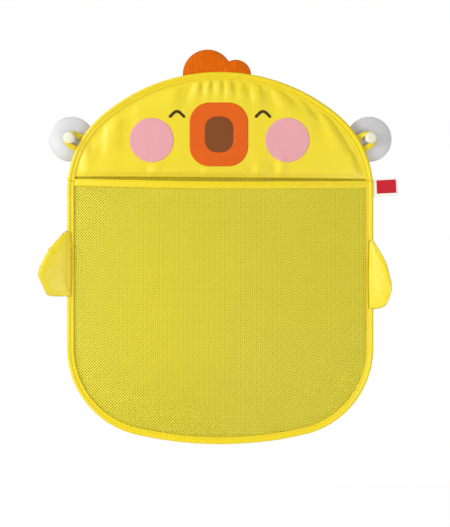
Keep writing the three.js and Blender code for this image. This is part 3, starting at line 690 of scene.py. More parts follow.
def face_panel(bag, material):
    """The satin panel over the head, in its folds, with its lower edge turned up behind it."""
    head = bag.head
    reach = head.corner - SHEET_INSET
    half = head.corner_x + math.sqrt(reach**2 - (HEM_Z - head.side_z) ** 2)
    bm = bmesh.new()
    bmesh.ops.create_grid(bm, x_segments=330, y_segments=104, size=1, matrix=FACING)
    hem = [edge for edge in bm.edges if all(vert.co.z < -0.999 for vert in edge.verts)]
    for vert in bm.verts:
        x = half * math.sin(vert.co.x * math.pi / 2)
        low = hem_height(x)
        top = max(low, head.height(x, SHEET_INSET))
        z = low + (top - low) * (vert.co.z + 1) / 2
        vert.co = (x, PANEL_Y - panel_relief(bag, x, z), z)
    for shift in ((0, 0.4 * MM, -0.35 * MM), (0, 0.3 * MM, 0.4 * MM), (0, 0, 4.6 * MM)):
        made = bmesh.ops.extrude_edge_only(bm, edges=hem)["geom"]
        moved = [item for item in made if isinstance(item, bmesh.types.BMVert)]
        bmesh.ops.translate(bm, verts=moved, vec=shift)
        hem = [
            item
            for item in made
            if isinstance(item, bmesh.types.BMEdge)
            and all(vert in set(moved) for vert in item.verts)
        ]
    bmesh.ops.remove_doubles(bm, verts=bm.verts, dist=0.02 * MM)
    bmesh.ops.recalc_face_normals(bm, faces=bm.faces)
    panel = add_piece("face_panel_cloth", bm, material, "bag", "satin", ["face_panel"])
    thicken(panel, CLOTH)
    width, height = 2 * half, head.height(0, SHEET_INSET) - HEM_Z + HEM_TURN


def hem_point(bag, x):
    """A place for a stitch of the hem, on the panel's front."""
    z = hem_height(x) + HEM_STITCHES
    return Vector((x, PANEL_Y - panel_relief(bag, x, z) - CLOTH / 2 - 0.08 * MM, z))


def square_share(u, w):
    """How far round a square a point on it lies, from 0 to 1, from its lower left corner."""
    if w <= -1 + 1e-9:
        return (u + 1) / 8
    if u >= 1 - 1e-9:
        return (w + 3) / 8
    if w >= 1 - 1e-9:
        return (5 - u) / 8
    return (7 - w) / 8


class Outline:
    """A closed curve through points, walked by its share of length."""

    def __init__(self, points):
        self.points = points
        self.marks = [0.0]
        for start, end in zip(points, points[1:] + points[:1]):
            self.marks.append(self.marks[-1] + (end - start).length)

    def at(self, share):
        """The point that lies this share of the way round."""
        target = (share % 1) * self.marks[-1]
        k = max(0, sum(mark <= target for mark in self.marks) - 1)
        k = min(k, len(self.points) - 1)
        part = (target - self.marks[k]) / (self.marks[k + 1] - self.marks[k])
        return self.points[k].lerp(self.points[(k + 1) % len(self.points)], part)


def arc(x, z, radius, start, end, steps):
    """Points on an arc, from one angle to another."""
    angles = (start + (end - start) * k / steps for k in range(steps + 1))
    return [Vector((x + radius * math.cos(a), z + radius * math.sin(a))) for a in angles]


def rounded_box(x, z, width, height, corner):
    """A rectangle's outline with round corners, from its lower left one."""
    across, up = width / 2 - corner, height / 2 - corner
    points = []
    for k, (sx, sz) in enumerate(((-1, -1), (1, -1), (1, 1), (-1, 1))):
        start = math.pi + k * math.pi / 2
        points += arc(x + sx * across, z + sz * up, corner, start, start + math.pi / 2, 16)
    half = len(points) // 8
    return Outline(points[half:] + points[:half])


def filled(bm, outline, centre, cells):
    """A grid shaped to an outline; gives each point with its share of the way out."""
    made = bmesh.ops.create_grid(
        bm, x_segments=cells, y_segments=cells, size=1, matrix=FACING
    )["verts"]
    shares = []
    for vert in made:
        u, w = vert.co.x, vert.co.z
        ring = max(abs(u), abs(w))
        edge = outline.at(square_share(u / ring, w / ring)) if ring > 1e-6 else centre
        spot = centre.lerp(edge, ring)
        vert.co = (spot.x, 0, spot.y)
        shares.append((vert, ring))
    return shares


def print_patch(name, bag, outline, centre, cells, layer, material, slot, flat, share):
    """A flush print that lies on the panel's folds; its flat size and share are not used."""
    bm = bmesh.new()
    for vert, _ in filled(bm, outline, centre, cells):
        rest_on_panel(bag, vert, layer)
    patch = add_piece(f"{name}_print", bm, material, "bag", slot, [f"{name}_patch"])
    thicken(patch, INK)


def rest_on_panel(bag, vert, layer):
    """Lays a point of a print on the panel, this many layers of ink up."""
    x, z = vert.co.x, vert.co.z
    vert.co.y = PANEL_Y - panel_relief(bag, x, z) - CLOTH / 2 - layer * INK


# Printed face, with places as x, z. An eye is a bend with a straight leg at each end; the leg's
# length is measured along the stroke from the middle of the bend.
BEAK_CENTRE = Vector((-1.5, 4)) * MM
BEAK_SIZE = (68 * MM, 74 * MM)
BEAK_CORNER = 0.34 * 68 * MM
MOUTH_SIZE = (33 * MM, 41.6 * MM)
MOUTH_CORNER = 0.42 * 33 * MM
CHEEK_RADIUS = 25.6 * MM
CHEEK_SIZE = (51.2 * MM, 51.2 * MM)
EYE_TOP = 32.3 * MM
EYE_BEND = 5.2 * MM
EYE_LEG = 10.2 * MM
EYE_HALF_STROKE = 1.7 * MM


def eye_point(x, apex, along, across):
    """A place on a smiling eye: along the stroke from its top, and across it."""
    bend = EYE_BEND * math.pi / 4
    turn = min(abs(along), bend) / EYE_BEND
    radius = EYE_BEND - across
    out = math.sin(turn) * radius
    down = EYE_BEND - math.cos(turn) * radius
    leg = max(0, abs(along) - bend) * math.sqrt(0.5)
    return Vector((x + math.copysign(out + leg, along), 0, apex - down - leg))


def smiling_eye(name, bag, x, material):
    """An eye, as a stroke of even width with round ends."""
    bm = bmesh.new()
    bmesh.ops.create_grid(bm, x_segments=48, y_segments=6, size=1, matrix=FACING)
    apex = EYE_TOP - EYE_HALF_STROKE
    for vert in bm.verts:
        along = vert.co.x * (EYE_LEG + EYE_HALF_STROKE)
        past = max(0, abs(along) - EYE_LEG)
        half = math.sqrt(max(0, EYE_HALF_STROKE**2 - past**2))
        vert.co = eye_point(x, apex, along, -vert.co.z * half)
        rest_on_panel(bag, vert, 1.5)
    bmesh.ops.remove_doubles(bm, verts=bm.verts, dist=0.001 * MM)
    bmesh.ops.recalc_face_normals(bm, faces=bm.faces)
    eye = add_piece(f"{name}_print", bm, material, "bag", "dark", [f"{name}_patch"])
    thicken(eye, INK)


def net(name, region, centre, reach, turn, thread_half, lie, material, node, filling=None):
    """Knitted net: a slanted grid, each cell inset, cut to its region and then laid.

    The cells are inset while stretched, so the threads across come out finer than the others.
    They are left open, or filled where a second material is given, which paints the shade seen
    through the holes.
    """
    bm = bmesh.new()
    place = Matrix.Translation(centre) @ FACING @ Matrix.Rotation(turn, 4, "Z")
    stretch = Matrix.Diagonal((1 / CROSS_THREAD_SHARE, 1, 1, 1))
    cells_across = round(2 * reach / NET_PITCH)
    bmesh.ops.create_grid(
        bm, x_segments=cells_across, y_segments=cells_across, size=reach, matrix=place
    )
    beyond = [face for face in bm.faces if not region(*face.calc_center_median().xz)]
    bmesh.ops.delete(bm, geom=beyond, context="FACES")
    cells = list(bm.faces)
    bmesh.ops.transform(bm, verts=bm.verts, matrix=place @ stretch @ place.inverted())
    bmesh.ops.inset_individual(
        bm, faces=cells, thickness=thread_half, depth=-THREAD_RIDGE, use_even_offset=True
    )
    bmesh.ops.transform(
        bm, verts=bm.verts, matrix=place @ stretch.inverted() @ place.inverted()
    )
    # Filled cells carry the painted shade of the holes
    if filling:
        for cell in cells:
            cell.material_index = 1
    else:
        bmesh.ops.delete(bm, geom=cells, context="FACES")
    for vert in bm.verts:
        vert.co.y += lie(vert.co.x, vert.co.z)
    piece = add_piece(name, bm, material, "bag", "mesh", [node])
    if filling:
        piece.data.materials.append(filling)
    return piece


def mouth_tape(bag, material):
    """The tape folded over the pocket's edge, drawn in a little by its elastic."""
    # Half its section in mm, as (depth, height): flat below, with a roll along the top
    outer = [(0.85, -8.6), (0.98, -6.6), (1.0, -4.4), (0.92, -2.5), (0.84, -2.0)]
    outer += [(1.2, -1.9), (1.65, -1.4), (1.65, -0.8), (1.2, -0.25), (0.5, 0)]
    inner = [(0.5, -1), (0.55, -4), (0.5, -6.6), (0.42, -8.6)]
    loop = [(-v, z) for v, z in outer] + outer[::-1]
    loop += inner[::-1] + [(-v, z) for v, z in inner]
    bm = bmesh.new()
    corners = [bm.verts.new((-TAPE_HALF, v * MM, z * MM)) for v, z in loop]
    face = bm.faces.new(corners)
    steps = 320
    bmesh.ops.spin(
        bm,
        geom=[face, *face.edges, *face.verts],
        cent=(0, 0, 0),
        axis=(0, 1, 0),
        dvec=(2 * TAPE_HALF / steps, 0, 0),
        angle=0,
        steps=steps,
    )
    bmesh.ops.recalc_face_normals(bm, faces=bm.faces)
    for vert in bm.verts:
        vert.co = mouth_place(bag, *vert.co)
    tape = add_piece(
        "mouth_tape_cloth", bm, material, "bag", "binding", ["mouth_tape", "mouth_elastic"]
    )


def mouth_place(bag, x, y, z):
    """Bends a point of the straight tape to the mouth's sag and its gathers."""
    # The rim holds the tape's ends; between them fine gathers and longer waves, in mm
    hold = bag.across(x) ** 0.3
    low = -z / TAPE_HEIGHT
    gather = (0.3 + 0.25 * low) * ripple(x, z, 5 * MM, 7) * MM * hold
    wave = 0.45 * ripple(x, 0, 21 * MM, 2) * MM * hold
    plane = RIM_Y - 0.2 * MM + (PANEL_Y - RIM_Y + 0.2 * MM) * hold
    out = bag.mouth_depth * bag.across(x)
    return Vector((x, plane + y - out + gather, bag.mouth_height(x) + z + wave))


def padded_form(bm, outline, centre, cells, y, crowns, seam):
    """Two faces of cloth, sewn together round the outline over a filling; gives its seam."""
    for face, crown in zip((-1, 1), crowns):
        for vert, ring in filled(bm, outline, centre, cells):
            # A crown that falls to the seam, a little thickness up to it, and small gathers
            rise = crown * (1 - ring**3.2) ** 0.62 + seam * (1 - ring**12)
            gather = 0.3 * ripple(vert.co.x, vert.co.z, 5.5 * MM, 9 + face) * MM
            vert.co.y = y + face * max(0, rise + gather * min(1, 4 * (1 - ring)))
    bmesh.ops.remove_doubles(bm, verts=bm.verts, dist=0.01 * MM)
    bmesh.ops.recalc_face_normals(bm, faces=bm.faces)
    bm.verts.index_update()
    return [vert.index for vert in bm.verts if abs(vert.co.y - y) < 0.001 * MM]


STUFFING_FRAMES = 20


def stuff(piece, seam, most):
    """Blows the sewn cloth up over its filling, held at its seam, and keeps the result.

    No point moves by more than the most, which keeps the seams flat and the faces smooth.
    """
    piece.vertex_groups.new(name="Seam").add(seam, 1, "REPLACE")
    cloth = piece.modifiers.new("Stuffing", "CLOTH")
    cloth.settings.vertex_group_mass = "Seam"
    cloth.settings.mass = 0.02
    cloth.settings.use_pressure = True
    cloth.settings.uniform_pressure_force = 4
    cloth.settings.shrink_min = 0.01
    cloth.settings.effector_weights.gravity = 0
    cloth.point_cache.frame_end = STUFFING_FRAMES
    scene = bpy.context.scene
    for step in range(1, STUFFING_FRAMES + 1):
        scene.frame_set(step)
    blown = piece.evaluated_get(bpy.context.evaluated_depsgraph_get()).data
    moves = [after.co - before.co for after, before in zip(blown.vertices, piece.data.vertices)]
    piece.modifiers.remove(cloth)
    for vert, move in zip(piece.data.vertices, moves):
        vert.co += move * min(1, most / max(move.length, 1e-9))
    scene.frame_set(1)


def comb_outline(bag):
    """Two bumps on the head's curve, the left-hand one larger."""
    big_x, big_r = -14.6 * MM, 28.9 * MM
    small_x, small_r = 18.1 * MM, 17.8 * MM
    top = bag.head.side_z + sizes().head_rise
    big_z, small_z = top - 3 * MM, top - 3.7 * MM
    gap = Vector((big_x - small_x, big_z - small_z))
    reach = (small_r**2 - big_r**2 + gap.length_squared) / (2 * gap.length)
    lean = math.atan2(gap.y, gap.x)
    turn = lean - math.acos(reach / small_r)
    notch = Vector(
        (small_x + small_r * math.cos(turn), small_z + small_r * math.sin(turn))
    )
    from_big = math.atan2(notch.y - big_z, notch.x - big_x)
    left, right = big_x - big_r, small_x + small_r
    base = []
    for k in range(41):
        x = left + (right - left) * k / 40
        base.append(Vector((x, bag.head.height(x, 0.8 * MM))))
    bumps = arc(small_x, small_z, small_r, 0, turn, 40)
    bumps += arc(big_x, big_z, big_r, from_big, math.pi, 60)
    above = [spot for spot in bumps if spot.y > bag.head.height(spot.x, 0) + 0.3 * MM]
    return Outline(base + above)


# Each wing: side, root, top, height, width, height of its tip, slope towards the room, and its
# edge as (share out, share down) above the tip and below it
WINGS = {
    "left": (
        -1, 173.4 * MM, -107.6 * MM, 76.1 * MM, 35.8 * MM, 0.652, 0.42,
        ((0.24, 0.07), (0.36, 0.17), (0.59, 0.36), (0.71, 0.5), (0.86, 0.72), (0.96, 0.9)),
        ((0.98, 0.11), (0.92, 0.3), (0.8, 0.69), (0.745, 0.86), (0.66, 0.95), (0.5, 0.99)),
    ),
    "right": (
        1, 172.6 * MM, -117.5 * MM, 80.5 * MM, 24.6 * MM, 0.68, 0.5,
        ((0.18, 0.03), (0.39, 0.18), (0.57, 0.33), (0.69, 0.44), (0.8, 0.57), (0.97, 0.9)),
        ((0.98, 0.18), (0.9, 0.44), (0.8, 0.71), (0.68, 0.88), (0.51, 0.96), (0.31, 1)),
    ),
}


def wing_outline(side, root, top, height, width, tip, upper, lower):
    """A wing's outline, from its upper root corner; it is broadest at the tip's height."""
    shares = [(0, 0.04), (0.1, 0), *((out, down * tip) for out, down in upper)]
    shares += [(out, tip + down * (1 - tip)) for out, down in lower] + [(0, 1)]
    points = [Vector((side * (root + width * o), top - height * d)) for o, d in shares]
    curve = []
    for k in range(len(points) - 1):
        before, after = points[max(0, k - 1)], points[min(len(points) - 1, k + 2)]
        start, end = points[k], points[k + 1]
        for step in range(6):
            curve.append(spline(before, start, end, after, step / 6))
    curve.append(points[-1])
    curve += [points[-1].lerp(points[0], k / 24) for k in range(1, 24)]
    return Outline(curve)


def spline(before, start, end, after, share):
    """A smooth curve from start to end that also heeds the points before and after."""
    square, cube = share**2, share**3
    return 0.5 * (
        2 * start
        + (end - before) * share
        + (2 * before - 5 * start + 4 * end - after) * square
        + (3 * start - 3 * end + after - before) * cube
    )


def ribbon_strip(bm, long_cells, wide_cells, place):
    """A strip of cloth, put in place by its share of length and of width."""
    bmesh.ops.create_grid(
        bm, x_segments=long_cells, y_segments=wide_cells, size=1, matrix=FACING
    )
    for vert in bm.verts:
        vert.co = place((vert.co.x + 1) / 2, (vert.co.z + 1) / 2)
    bmesh.ops.recalc_face_normals(bm, faces=bm.faces)


def label_place(along, up):
    """A place on the folded label: its front layer, the fold, then its back layer."""
    fold = 0.35 * MM
    travel = along * (2 * LABEL_REACH + math.pi * fold)
    if travel < LABEL_REACH:
        x, y = travel, -fold
    elif travel < LABEL_REACH + math.pi * fold:
        turn = (travel - LABEL_REACH) / fold
        x, y = LABEL_REACH + math.sin(turn) * fold, -math.cos(turn) * fold
    else:
        x, y = 2 * LABEL_REACH + math.pi * fold - travel, fold
    curl = 0.5 * MM * math.sin(x / LABEL_REACH * math.pi) * (0.5 + up)
    z = LABEL_TOP - LABEL_HEIGHT * (1 - up) + LABEL_SKEW * x - 0.3 * MM
    return Vector((LABEL_X + x, RIM_Y + y - curl, z))


def loop_place(side, bag):
    """The loop's tape: flat behind the bead at both roots, on edge round the knob's neck."""
    head = bag.head
    knob = Vector((side * CUP_X, 0, 0))
    away = (knob - Vector((side * head.corner_x, 0, head.side_z))).normalized()
    along = away.cross(TO_ROOM)
    clear, half = NECK_RADIUS + 0.6 * MM, LOOP_WIDTH / 2
    radius = clear + half * math.cos(math.pi / 4)
    root_in, root_apart = 4.5 * MM, 7.5 * MM
    strand = LOOP_REACH + root_in
    bend = math.pi * radius
    total = 2 * strand + bend

    def place(share, wide):
        travel = share * total
        first = travel < strand + bend / 2
        back = travel if first else total - travel
        sign = 1 if first else -1
        part = min(1, back / strand)
        out = min(back, strand) - root_in
        apart = root_apart + (radius - root_apart) * smooth(part, 0.1, 1)
        turn = max(0, back - strand) / radius
        lift = smooth(out, 0, LOOP_REACH)
        twist = math.radians(55) * lift + math.radians(25) * math.sin(turn)
        bow = clear + half * math.cos(twist)
        centre = knob + away * (min(out - LOOP_REACH, 0) + math.sin(turn) * bow)
        centre += along * sign * (apart if turn == 0 else math.cos(turn) * bow)
        centre.y = LOOP_ROOT_Y + (NECK_Y - LOOP_ROOT_Y) * lift
        normal = along * math.cos(turn) * sign + away * math.sin(turn)
        way = normal * math.cos(twist) - TO_ROOM * math.sin(twist)
        return centre + way * (wide - 0.5) * LOOP_WIDTH

    return place, total


def turned(bm, profile, x, steps):
    """Turns a profile of (radius, distance from the wall) round a line out of it at x."""
    chain = [bm.verts.new((x + radius, -depth, 0)) for radius, depth in profile]
    edges = [bm.edges.new(pair) for pair in zip(chain, chain[1:])]
    bmesh.ops.spin(
        bm,
        geom=[*chain, *edges],
        cent=(x, 0, 0),
        axis=(0, 1, 0),
        dvec=(0, 0, 0),
        angle=2 * math.pi,
        steps=steps,
        use_merge=True,
    )
    bmesh.ops.remove_doubles(bm, verts=bm.verts, dist=0.002 * MM)
    bmesh.ops.recalc_face_normals(bm, faces=bm.faces)


def cup_profile():
    """A suction cup in mm: its socket, boss, dome, thin lip and hollow underside."""
    boss, rim, lip, dome, seal = 5.4, 26.5, 0.9, 5.5, 22
    slope = []
    for k in range(1, 17):
        share = k / 17
        # A thin moulded ring near the lip
        ridge = 0.25 * math.exp(-(((share - 0.82) / 0.025) ** 2))
        slope.append((boss + (rim - boss) * share, lip + (dome - lip) * (1 - share**2) + ridge))
    neck = [(0, 3.9), (2.5, 3.9), (2.5, 9.0), (2.8, 9.3), (5.0, 9.3), (5.4, 8.9)]
    foot = [(5.4, 6.4), (5.6, 5.8), (6.1, 5.45)]
    edge = [(26.3, 1.0), (26.5, 0.7), (26.5, 0.3), (26.3, 0.05), (24, 0), (seal, 0.05)]
    vault = [(seal * s, 2.6 * (1 - s**2)) for s in (0.85, 0.7, 0.5, 0.3, 0.15, 0)]
    profile = neck + foot + slope[1:] + edge + vault
    return [(radius * MM, depth * MM) for radius, depth in profile]


def knob_profile():
    """A knob in mm: domed head, neck, flange and the stud that sits in the cup."""
    head = [(0, 23.0), (1.7, 22.97), (3.4, 22.85), (4.8, 22.55), (5.8, 22.0)]
    head += [(6.4, 21.3), (6.72, 20.4), (6.75, 19.2), (6.7, 18.2), (6.3, 17.6), (5.7, 17.4)]
    neck = [(5.1, 17.3), (4.8, 17.0), (4.75, 14), (4.8, 10.9), (5.1, 10.45), (5.8, 10.35)]
    stud = [(6.0, 10.1), (6.0, 9.8), (5.8, 9.6), (2.42, 9.6), (2.42, 4.4), (2.2, 4.2), (0, 4.2)]
    return [(radius * MM, depth * MM) for radius, depth in head + neck + stud]


class CHICKBAG_OT_hoop(bpy.types.Operator):
    """Coats the spring wire hoop and plates its ferrule."""

    bl_idname = "chick_bag.hoop"
    bl_label = "Wire hoop"

    def execute(self, context):
        wire = coated_wire("Coated spring wire", linear("#dcdcd2"))
        steel = plated_steel("Nickel-plated steel", linear("#b9b6ae"))
        for node, material in (("frame_hoop", wire), ("hoop_ferrule", steel)):
            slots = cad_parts[node].data.materials
            slots.clear()
            slots.append(material)
        return {"FINISHED"}


class CHICKBAG_OT_binding(bpy.types.Operator):
    """Folds the twill tape round the hoop, in two lengths, and stitches its lips."""

    bl_idname = "chick_bag.binding"
    bl_label = "Binding"

    def execute(self, context):
        bag = Bag()
        tape = twill_tape("Binding twill", dyes().tape)
        thread = sewing_thread("Yellow thread", dyes().tape)
        for name, moves, side in (
            ("head_binding", bag.head_moves(), -1),
            ("body_binding", bag.body_moves(), 1),
        ):
            rim = rim_binding(name + "_tape", bag, moves, side, tape, [name])
            travel = sum(radius * angle + abs(run) for _, radius, angle, run in moves)
            rim_stitches(name + "_stitches", bag, moves, side, thread)
        return {"FINISHED"}


class CHICKBAG_OT_panel(bpy.types.Operator):
    """Hangs the satin face panel in its folds and stitches its hem."""

    bl_idname = "chick_bag.panel"
    bl_label = "Face panel"

    def execute(self, context):
        bag = Bag()
        face_panel(bag, satin("Yellow polyester satin", dyes().satin))
        bm = bmesh.new()
        stitch_row(bm, lambda x: hem_point(bag, x))
        thread = sewing_thread("Hem thread", dyes().tape)
        add_piece("hem_stitches", bm, thread, "bag", "satin")
        return {"FINISHED"}


class CHICKBAG_OT_face(bpy.types.Operator):
    """Prints the beak, mouth, cheeks and eyes on the panel."""

    bl_idname = "chick_bag.face"
    bl_label = "Printed face"

    def execute(self, context):
        bag, dye = Bag(), dyes()
        beak = printed_satin("Orange print", dye.beak)
        mouth = printed_satin("Brown print", dye.mouth)
        cheek = printed_satin("Pink print", dye.cheek)
        eye = printed_satin("Dark print", dye.eye)
        for name, size, corner, cells, layer, ink, slot in (
            ("beak", BEAK_SIZE, BEAK_CORNER, 60, 1.3, beak, "orange"),
            ("mouth", MOUTH_SIZE, MOUTH_CORNER, 36, 2.6, mouth, "brown"),
        ):
            shape, share = rounded_box(*BEAK_CENTRE, *size, corner), 0.93
            print_patch(
                name, bag, shape, BEAK_CENTRE, cells, layer, ink, slot, size, share
            )
        for name, side in SIDES:
            centre = Vector((-0.8 + side * 78.7, -2.5)) * MM
            ring = arc(*centre, CHEEK_RADIUS, -0.75 * math.pi, 1.25 * math.pi, 96)
            shape, share = Outline(ring[:-1]), math.pi / 4
            print_patch(
                f"{name}_cheek", bag, shape, centre, 48, 1.3, cheek, "pink", CHEEK_SIZE, share
            )
            smiling_eye(f"{name}_eye", bag, (-0.2 + side * 49.8) * MM, eye)
        return {"FINISHED"}


class CHICKBAG_OT_nets(bpy.types.Operator):
    """Knits the back net, its holes filled with painted shade, and the open, bulging pocket net.
    """

    bl_idname = "chick_bag.nets"
    bl_label = "Nets"

    def execute(self, context):
        bag = Bag()
        yarn = net_yarn("Knitted polyester net", dyes().net)
        edge = SHEET_INSET + 0.8 * MM
        top = bag.head.height(0, edge)
        bottom = bag.seat.height(0, edge)

        def in_pocket(x, z):
            under = bag.mouth_height(x) - 1.9 * MM if abs(x) < bag.free_half else MOUTH_Z
            return z < under and bag.inset_of(x, z) > edge

        def pocket_lie(x, z):
            if bag.inset_of(x, z) < LIP_INSET:
                return RIM_Y - 0.6 * MM
            return PANEL_Y - bag.pocket_depth(x, z)

        middle = Vector((0, 0, (MOUTH_Z + bottom) / 2))
        turn = math.radians(45)
        pocket = net(
            "pocket_net",
            in_pocket,
            middle,
            240 * MM,
            turn,
            POCKET_THREAD_HALF,
            pocket_lie,
            yarn,
            "pocket_mesh",
        )
        back = net(
            "back_net",
            lambda x, z: bag.inset_of(x, z) > edge,
            Vector((0, 0, (top + bottom) / 2)),
            290 * MM,
            2 * turn,
            BACK_THREAD_HALF,
            lambda x, z: BACK_Y,
            yarn,
            "back_mesh",
            # painted shade that fills the holes of the back net
            painted_hole_shade("Painted shade in the holes of the back net", dyes().net),
        )
        return {"FINISHED"}


class CHICKBAG_OT_mouth(bpy.types.Operator):
    """Folds the tape over the pocket's mouth and stitches it."""

    bl_idname = "chick_bag.mouth"
    bl_label = "Mouth tape"

    def execute(self, context):
        bag = Bag()
        mouth_tape(bag, twill_tape("Mouth tape twill", dyes().tape))
        bm = bmesh.new()
        for y in (-1.12 * MM, 1.12 * MM):
            stitch_row(bm, lambda x, y=y: mouth_place(bag, x, y, TAPE_STITCHES))
        thread = sewing_thread("Mouth thread", dyes().tape)
        add_piece("mouth_stitches", bm, thread, "bag", "binding")
        return {"FINISHED"}


class CHICKBAG_OT_comb(bpy.types.Operator):
    """Stuffs the fleece comb on the head."""

    bl_idname = "chick_bag.comb"
    bl_label = "Comb"

    def execute(self, context):
        bag = Bag()
        bm = bmesh.new()
        centre = Vector((-2 * MM, 84 * MM))
        crowns = (1.5 * MM, 1.5 * MM)
        seam = padded_form(bm, comb_outline(bag), centre, 56, RIM_Y, crowns, 0.5 * MM)
        cloth = fleece("Orange polar fleece", dyes().comb)
        comb = add_piece(
            "comb_fleece", bm, cloth, "comb", "fleece", ["comb_cover", "comb_padding"]
        )
        stuff(comb, seam, 0.8 * MM)
        return {"FINISHED"}


class CHICKBAG_OT_wings(bpy.types.Operator):
    """Stuffs both wings and sews them on the rim."""

    bl_idname = "chick_bag.wings"
    bl_label = "Wings"

    def execute(self, context):
        cloth = satin("Wing satin", dyes().satin)
        for name, (side, root, top, height, width, tip, slope, *edge) in WINGS.items():
            outline = wing_outline(side, root, top, height, width, tip, *edge)
            centre = Vector((side * (root + 0.42 * width), top - 0.58 * height))
            bm = bmesh.new()
            crowns = (3.4 * MM, 0.6 * MM)
            seam = padded_form(bm, outline, centre, 48, WING_Y, crowns, 0.4 * MM)
            for vert in bm.verts:
                vert.co.y -= slope * max(0, abs(vert.co.x) - root)
            wing = add_piece(
                f"{name}_wing",
                bm,
                cloth,
                f"{name}_wing",
                "satin",
                [f"{name}_wing_cover", f"{name}_wing_padding"],
            )
            stuff(wing, seam, 1.2 * MM)
        return {"FINISHED"}


class CHICKBAG_OT_label(bpy.types.Operator):
    """Folds the woven label into the right-hand seam."""

    bl_idname = "chick_bag.label"
    bl_label = "Label"

    def execute(self, context):
        bm = bmesh.new()
        ribbon_strip(bm, 120, 24, label_place)
        cloth = woven_ribbon("Woven satin ribbon", dyes().ribbon, dyes().band)
        label = add_piece("label_ribbon", bm, cloth, "label", "label", ["label"])
        thicken(label, 0.25 * MM)
        return {"FINISHED"}


class CHICKBAG_OT_loops(bpy.types.Operator):
    """Loops the hanging tapes from the rim round the knobs."""

    bl_idname = "chick_bag.loops"
    bl_label = "Hanging loops"

    def execute(self, context):
        bag = Bag()
        tape = twill_tape("Loop twill", dyes().tape)
        for name, side in SIDES:
            place, travel = loop_place(side, bag)
            bm = bmesh.new()
            ribbon_strip(bm, 96, 8, place)
            loop = add_piece(
                f"{name}_loop_tape", bm, tape, None, "binding", [f"{name}_hanging_loop"]
            )
            thicken(loop, 0.9 * MM)
            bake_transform(loop)
        return {"FINISHED"}


class CHICKBAG_OT_hooks(bpy.types.Operator):
    """Moulds the suction cups and their knobs."""

    bl_idname = "chick_bag.hooks"
    bl_label = "Suction cups and knobs"

    def execute(self, context):
        vinyl = soft_vinyl("Soft clear vinyl", dyes().vinyl)
        ivory = moulded_abs("Ivory moulded ABS", dyes().knob)
        for name, side in SIDES:
            for part, node, profile, steps, material in (
                ("cup", "suction_cup", cup_profile(), 96, vinyl),
                ("knob", "knob", knob_profile(), 64, ivory),
            ):
                bm = bmesh.new()
                turned(bm, profile, side * CUP_X, steps)
                body, replaced = f"{name}_{part}", [f"{name}_{node}"]
                add_piece(f"{body}_moulding", bm, material, body, part, replaced)
        return {"FINISHED"}


class CHICKBAG_OT_stage(bpy.types.Operator):
    """Sets the floor, the soft lights and the camera."""

    bl_idname = "chick_bag.stage"
    bl_label = "Stage"

    def execute(self, context):
        scene = context.scene
        scene.view_settings.view_transform = "Standard"
        add_floor(scene)
        add_world(scene)
        for name, spot, target, size, power in (
            ("Key light", (-1.1, -1.0, 0.1), (0, 0, -0.1), 0.6, 8.7),
            ("Side light", (-1.3, -0.4, 0.75), (0, 0, -0.1), 0.5, 11.5),
            ("Fill light", (0.55, -0.85, -0.36), (0.08, 0, -0.26), 0.4, 3.65),
            ("Back light", (-0.8, 1.3, 0.3), (0, 0, -0.1), 0.7, 9),
        ):
            add_light(scene, name, Vector(spot), Vector(target), size, power)
        camera = bpy.data.cameras.new("Camera")
        camera.lens = 76.45
        camera.sensor_width = 36
        lens = bpy.data.objects.new("Camera", camera)
        lens.location = (0.0056, -1.313, -0.1456)
        lens.rotation_euler = (math.pi / 2, 0, 0)
        scene.collection.objects.link(lens)
        scene.camera = lens
        return {"FINISHED"}


def pale_ray(tree):
    """1 for what the camera sees straight, in a gloss or through something clear."""
    path = add_node(tree, "ShaderNodeLightPath")
    first = {0: path.outputs["Is Camera Ray"], 1: path.outputs["Is Glossy Ray"]}
    seen = add_node(tree, "ShaderNodeMath", first, operation="MAXIMUM")
    second = {0: seen.outputs[0], 1: path.outputs["Is Transmission Ray"]}
    return add_node(tree, "ShaderNodeMath", second, operation="MAXIMUM").outputs[0]


def add_floor(scene):
    """A wide floor a little below the bag."""
    # Matt painted board: pale and even, it keeps only a faint shadow.
    material = bpy.data.materials.new("Pale painted floor")
    material.use_nodes = True
    tree = material.node_tree
    shader = tree.nodes["Principled BSDF"]
    shader.inputs["Base Color"].default_value = (0.9, 0.9, 0.9, 1)
    shader.inputs["Roughness"].default_value = 0.8
    glow = add_node(tree, "ShaderNodeEmission", {"Color": (1, 1, 1, 1)})
    nearly = {0: pale_ray(tree), 1: 0.97}
    share = add_node(tree, "ShaderNodeMath", nearly, operation="MULTIPLY")
    mixed = {0: share.outputs[0], 1: shader.outputs[0], 2: glow.outputs[0]}
    both = add_node(tree, "ShaderNodeMixShader", mixed)
    tree.links.new(both.outputs[0], tree.nodes["Material Output"].inputs["Surface"])
    bm = bmesh.new()
    bmesh.ops.create_grid(bm, x_segments=4, y_segments=4, size=0.8)
    bmesh.ops.translate(bm, verts=bm.verts, vec=(0, -0.45, -0.47))
    mesh = bpy.data.meshes.new("floor")
    bm.to_mesh(mesh)
    bm.free()
    mesh.materials.append(material)
    floor = bpy.data.objects.new("floor", mesh)
    scene.collection.objects.link(floor)


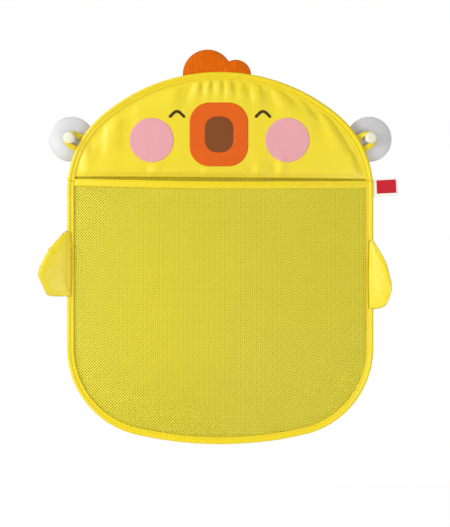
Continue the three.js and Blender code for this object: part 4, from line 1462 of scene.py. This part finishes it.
def add_world(scene):
    """An even, weak light from all around, seen as white."""
    world = bpy.data.worlds.new("Studio")
    scene.world = world
    world.use_nodes = True
    tree = world.node_tree
    soft = tree.nodes["Background"]
    soft.inputs["Color"].default_value = (1, 1, 1, 1)
    soft.inputs["Strength"].default_value = 0.33
    white = add_node(tree, "ShaderNodeBackground", {"Color": (1, 1, 1, 1), "Strength": 1})
    mixed = {0: pale_ray(tree), 1: soft.outputs[0], 2: white.outputs[0]}
    both = add_node(tree, "ShaderNodeMixShader", mixed)
    tree.links.new(both.outputs[0], tree.nodes["World Output"].inputs["Surface"])


def add_light(scene, name, spot, target, size, power):
    """A square soft light at a spot, aimed at a target."""
    lamp = bpy.data.lights.new(name, "AREA")
    lamp.size = size
    lamp.energy = power
    light = bpy.data.objects.new(name, lamp)
    light.location = spot
    light.rotation_euler = (target - spot).to_track_quat("-Z", "Y").to_euler()
    scene.collection.objects.link(light)


# In the order in which they run
PIECES = (
    CHICKBAG_OT_hoop,
    CHICKBAG_OT_binding,
    CHICKBAG_OT_panel,
    CHICKBAG_OT_face,
    CHICKBAG_OT_mouth,
    CHICKBAG_OT_nets,
    CHICKBAG_OT_comb,
    CHICKBAG_OT_wings,
    CHICKBAG_OT_label,
    CHICKBAG_OT_hooks,
    CHICKBAG_OT_loops,
    CHICKBAG_OT_stage,
)


class CHICKBAG_PT_tools(bpy.types.Panel):
    """The bag's sizes, dyes and pieces."""

    bl_idname = "CHICKBAG_PT_tools"
    bl_label = "Chick bath bag"
    bl_space_type = "VIEW_3D"
    bl_region_type = "UI"
    bl_category = "Chick bag"

    def draw(self, context):
        for group in (sizes(), dyes()):
            box = self.layout.box()
            for name in group.bl_rna.properties.keys():
                if name not in ("rna_type", "name"):
                    box.prop(group, name)
        for piece in PIECES:
            self.layout.operator(piece.bl_idname)


CLASSES = (ChickBagSizes, ChickBagColours, *PIECES, CHICKBAG_PT_tools)


def register():
    for cls in CLASSES:
        bpy.utils.register_class(cls)
    bpy.types.Scene.chick_bag_sizes = PointerProperty(type=ChickBagSizes)
    bpy.types.Scene.chick_bag_colours = PointerProperty(type=ChickBagColours)


def unregister():
    del bpy.types.Scene.chick_bag_colours
    del bpy.types.Scene.chick_bag_sizes
    for cls in reversed(CLASSES):
        bpy.utils.unregister_class(cls)


def main():
    register()
    for piece in PIECES:
        group, name = piece.bl_idname.split(".")
        getattr(getattr(bpy.ops, group), name)()


if __name__ == "__main__":
    main()
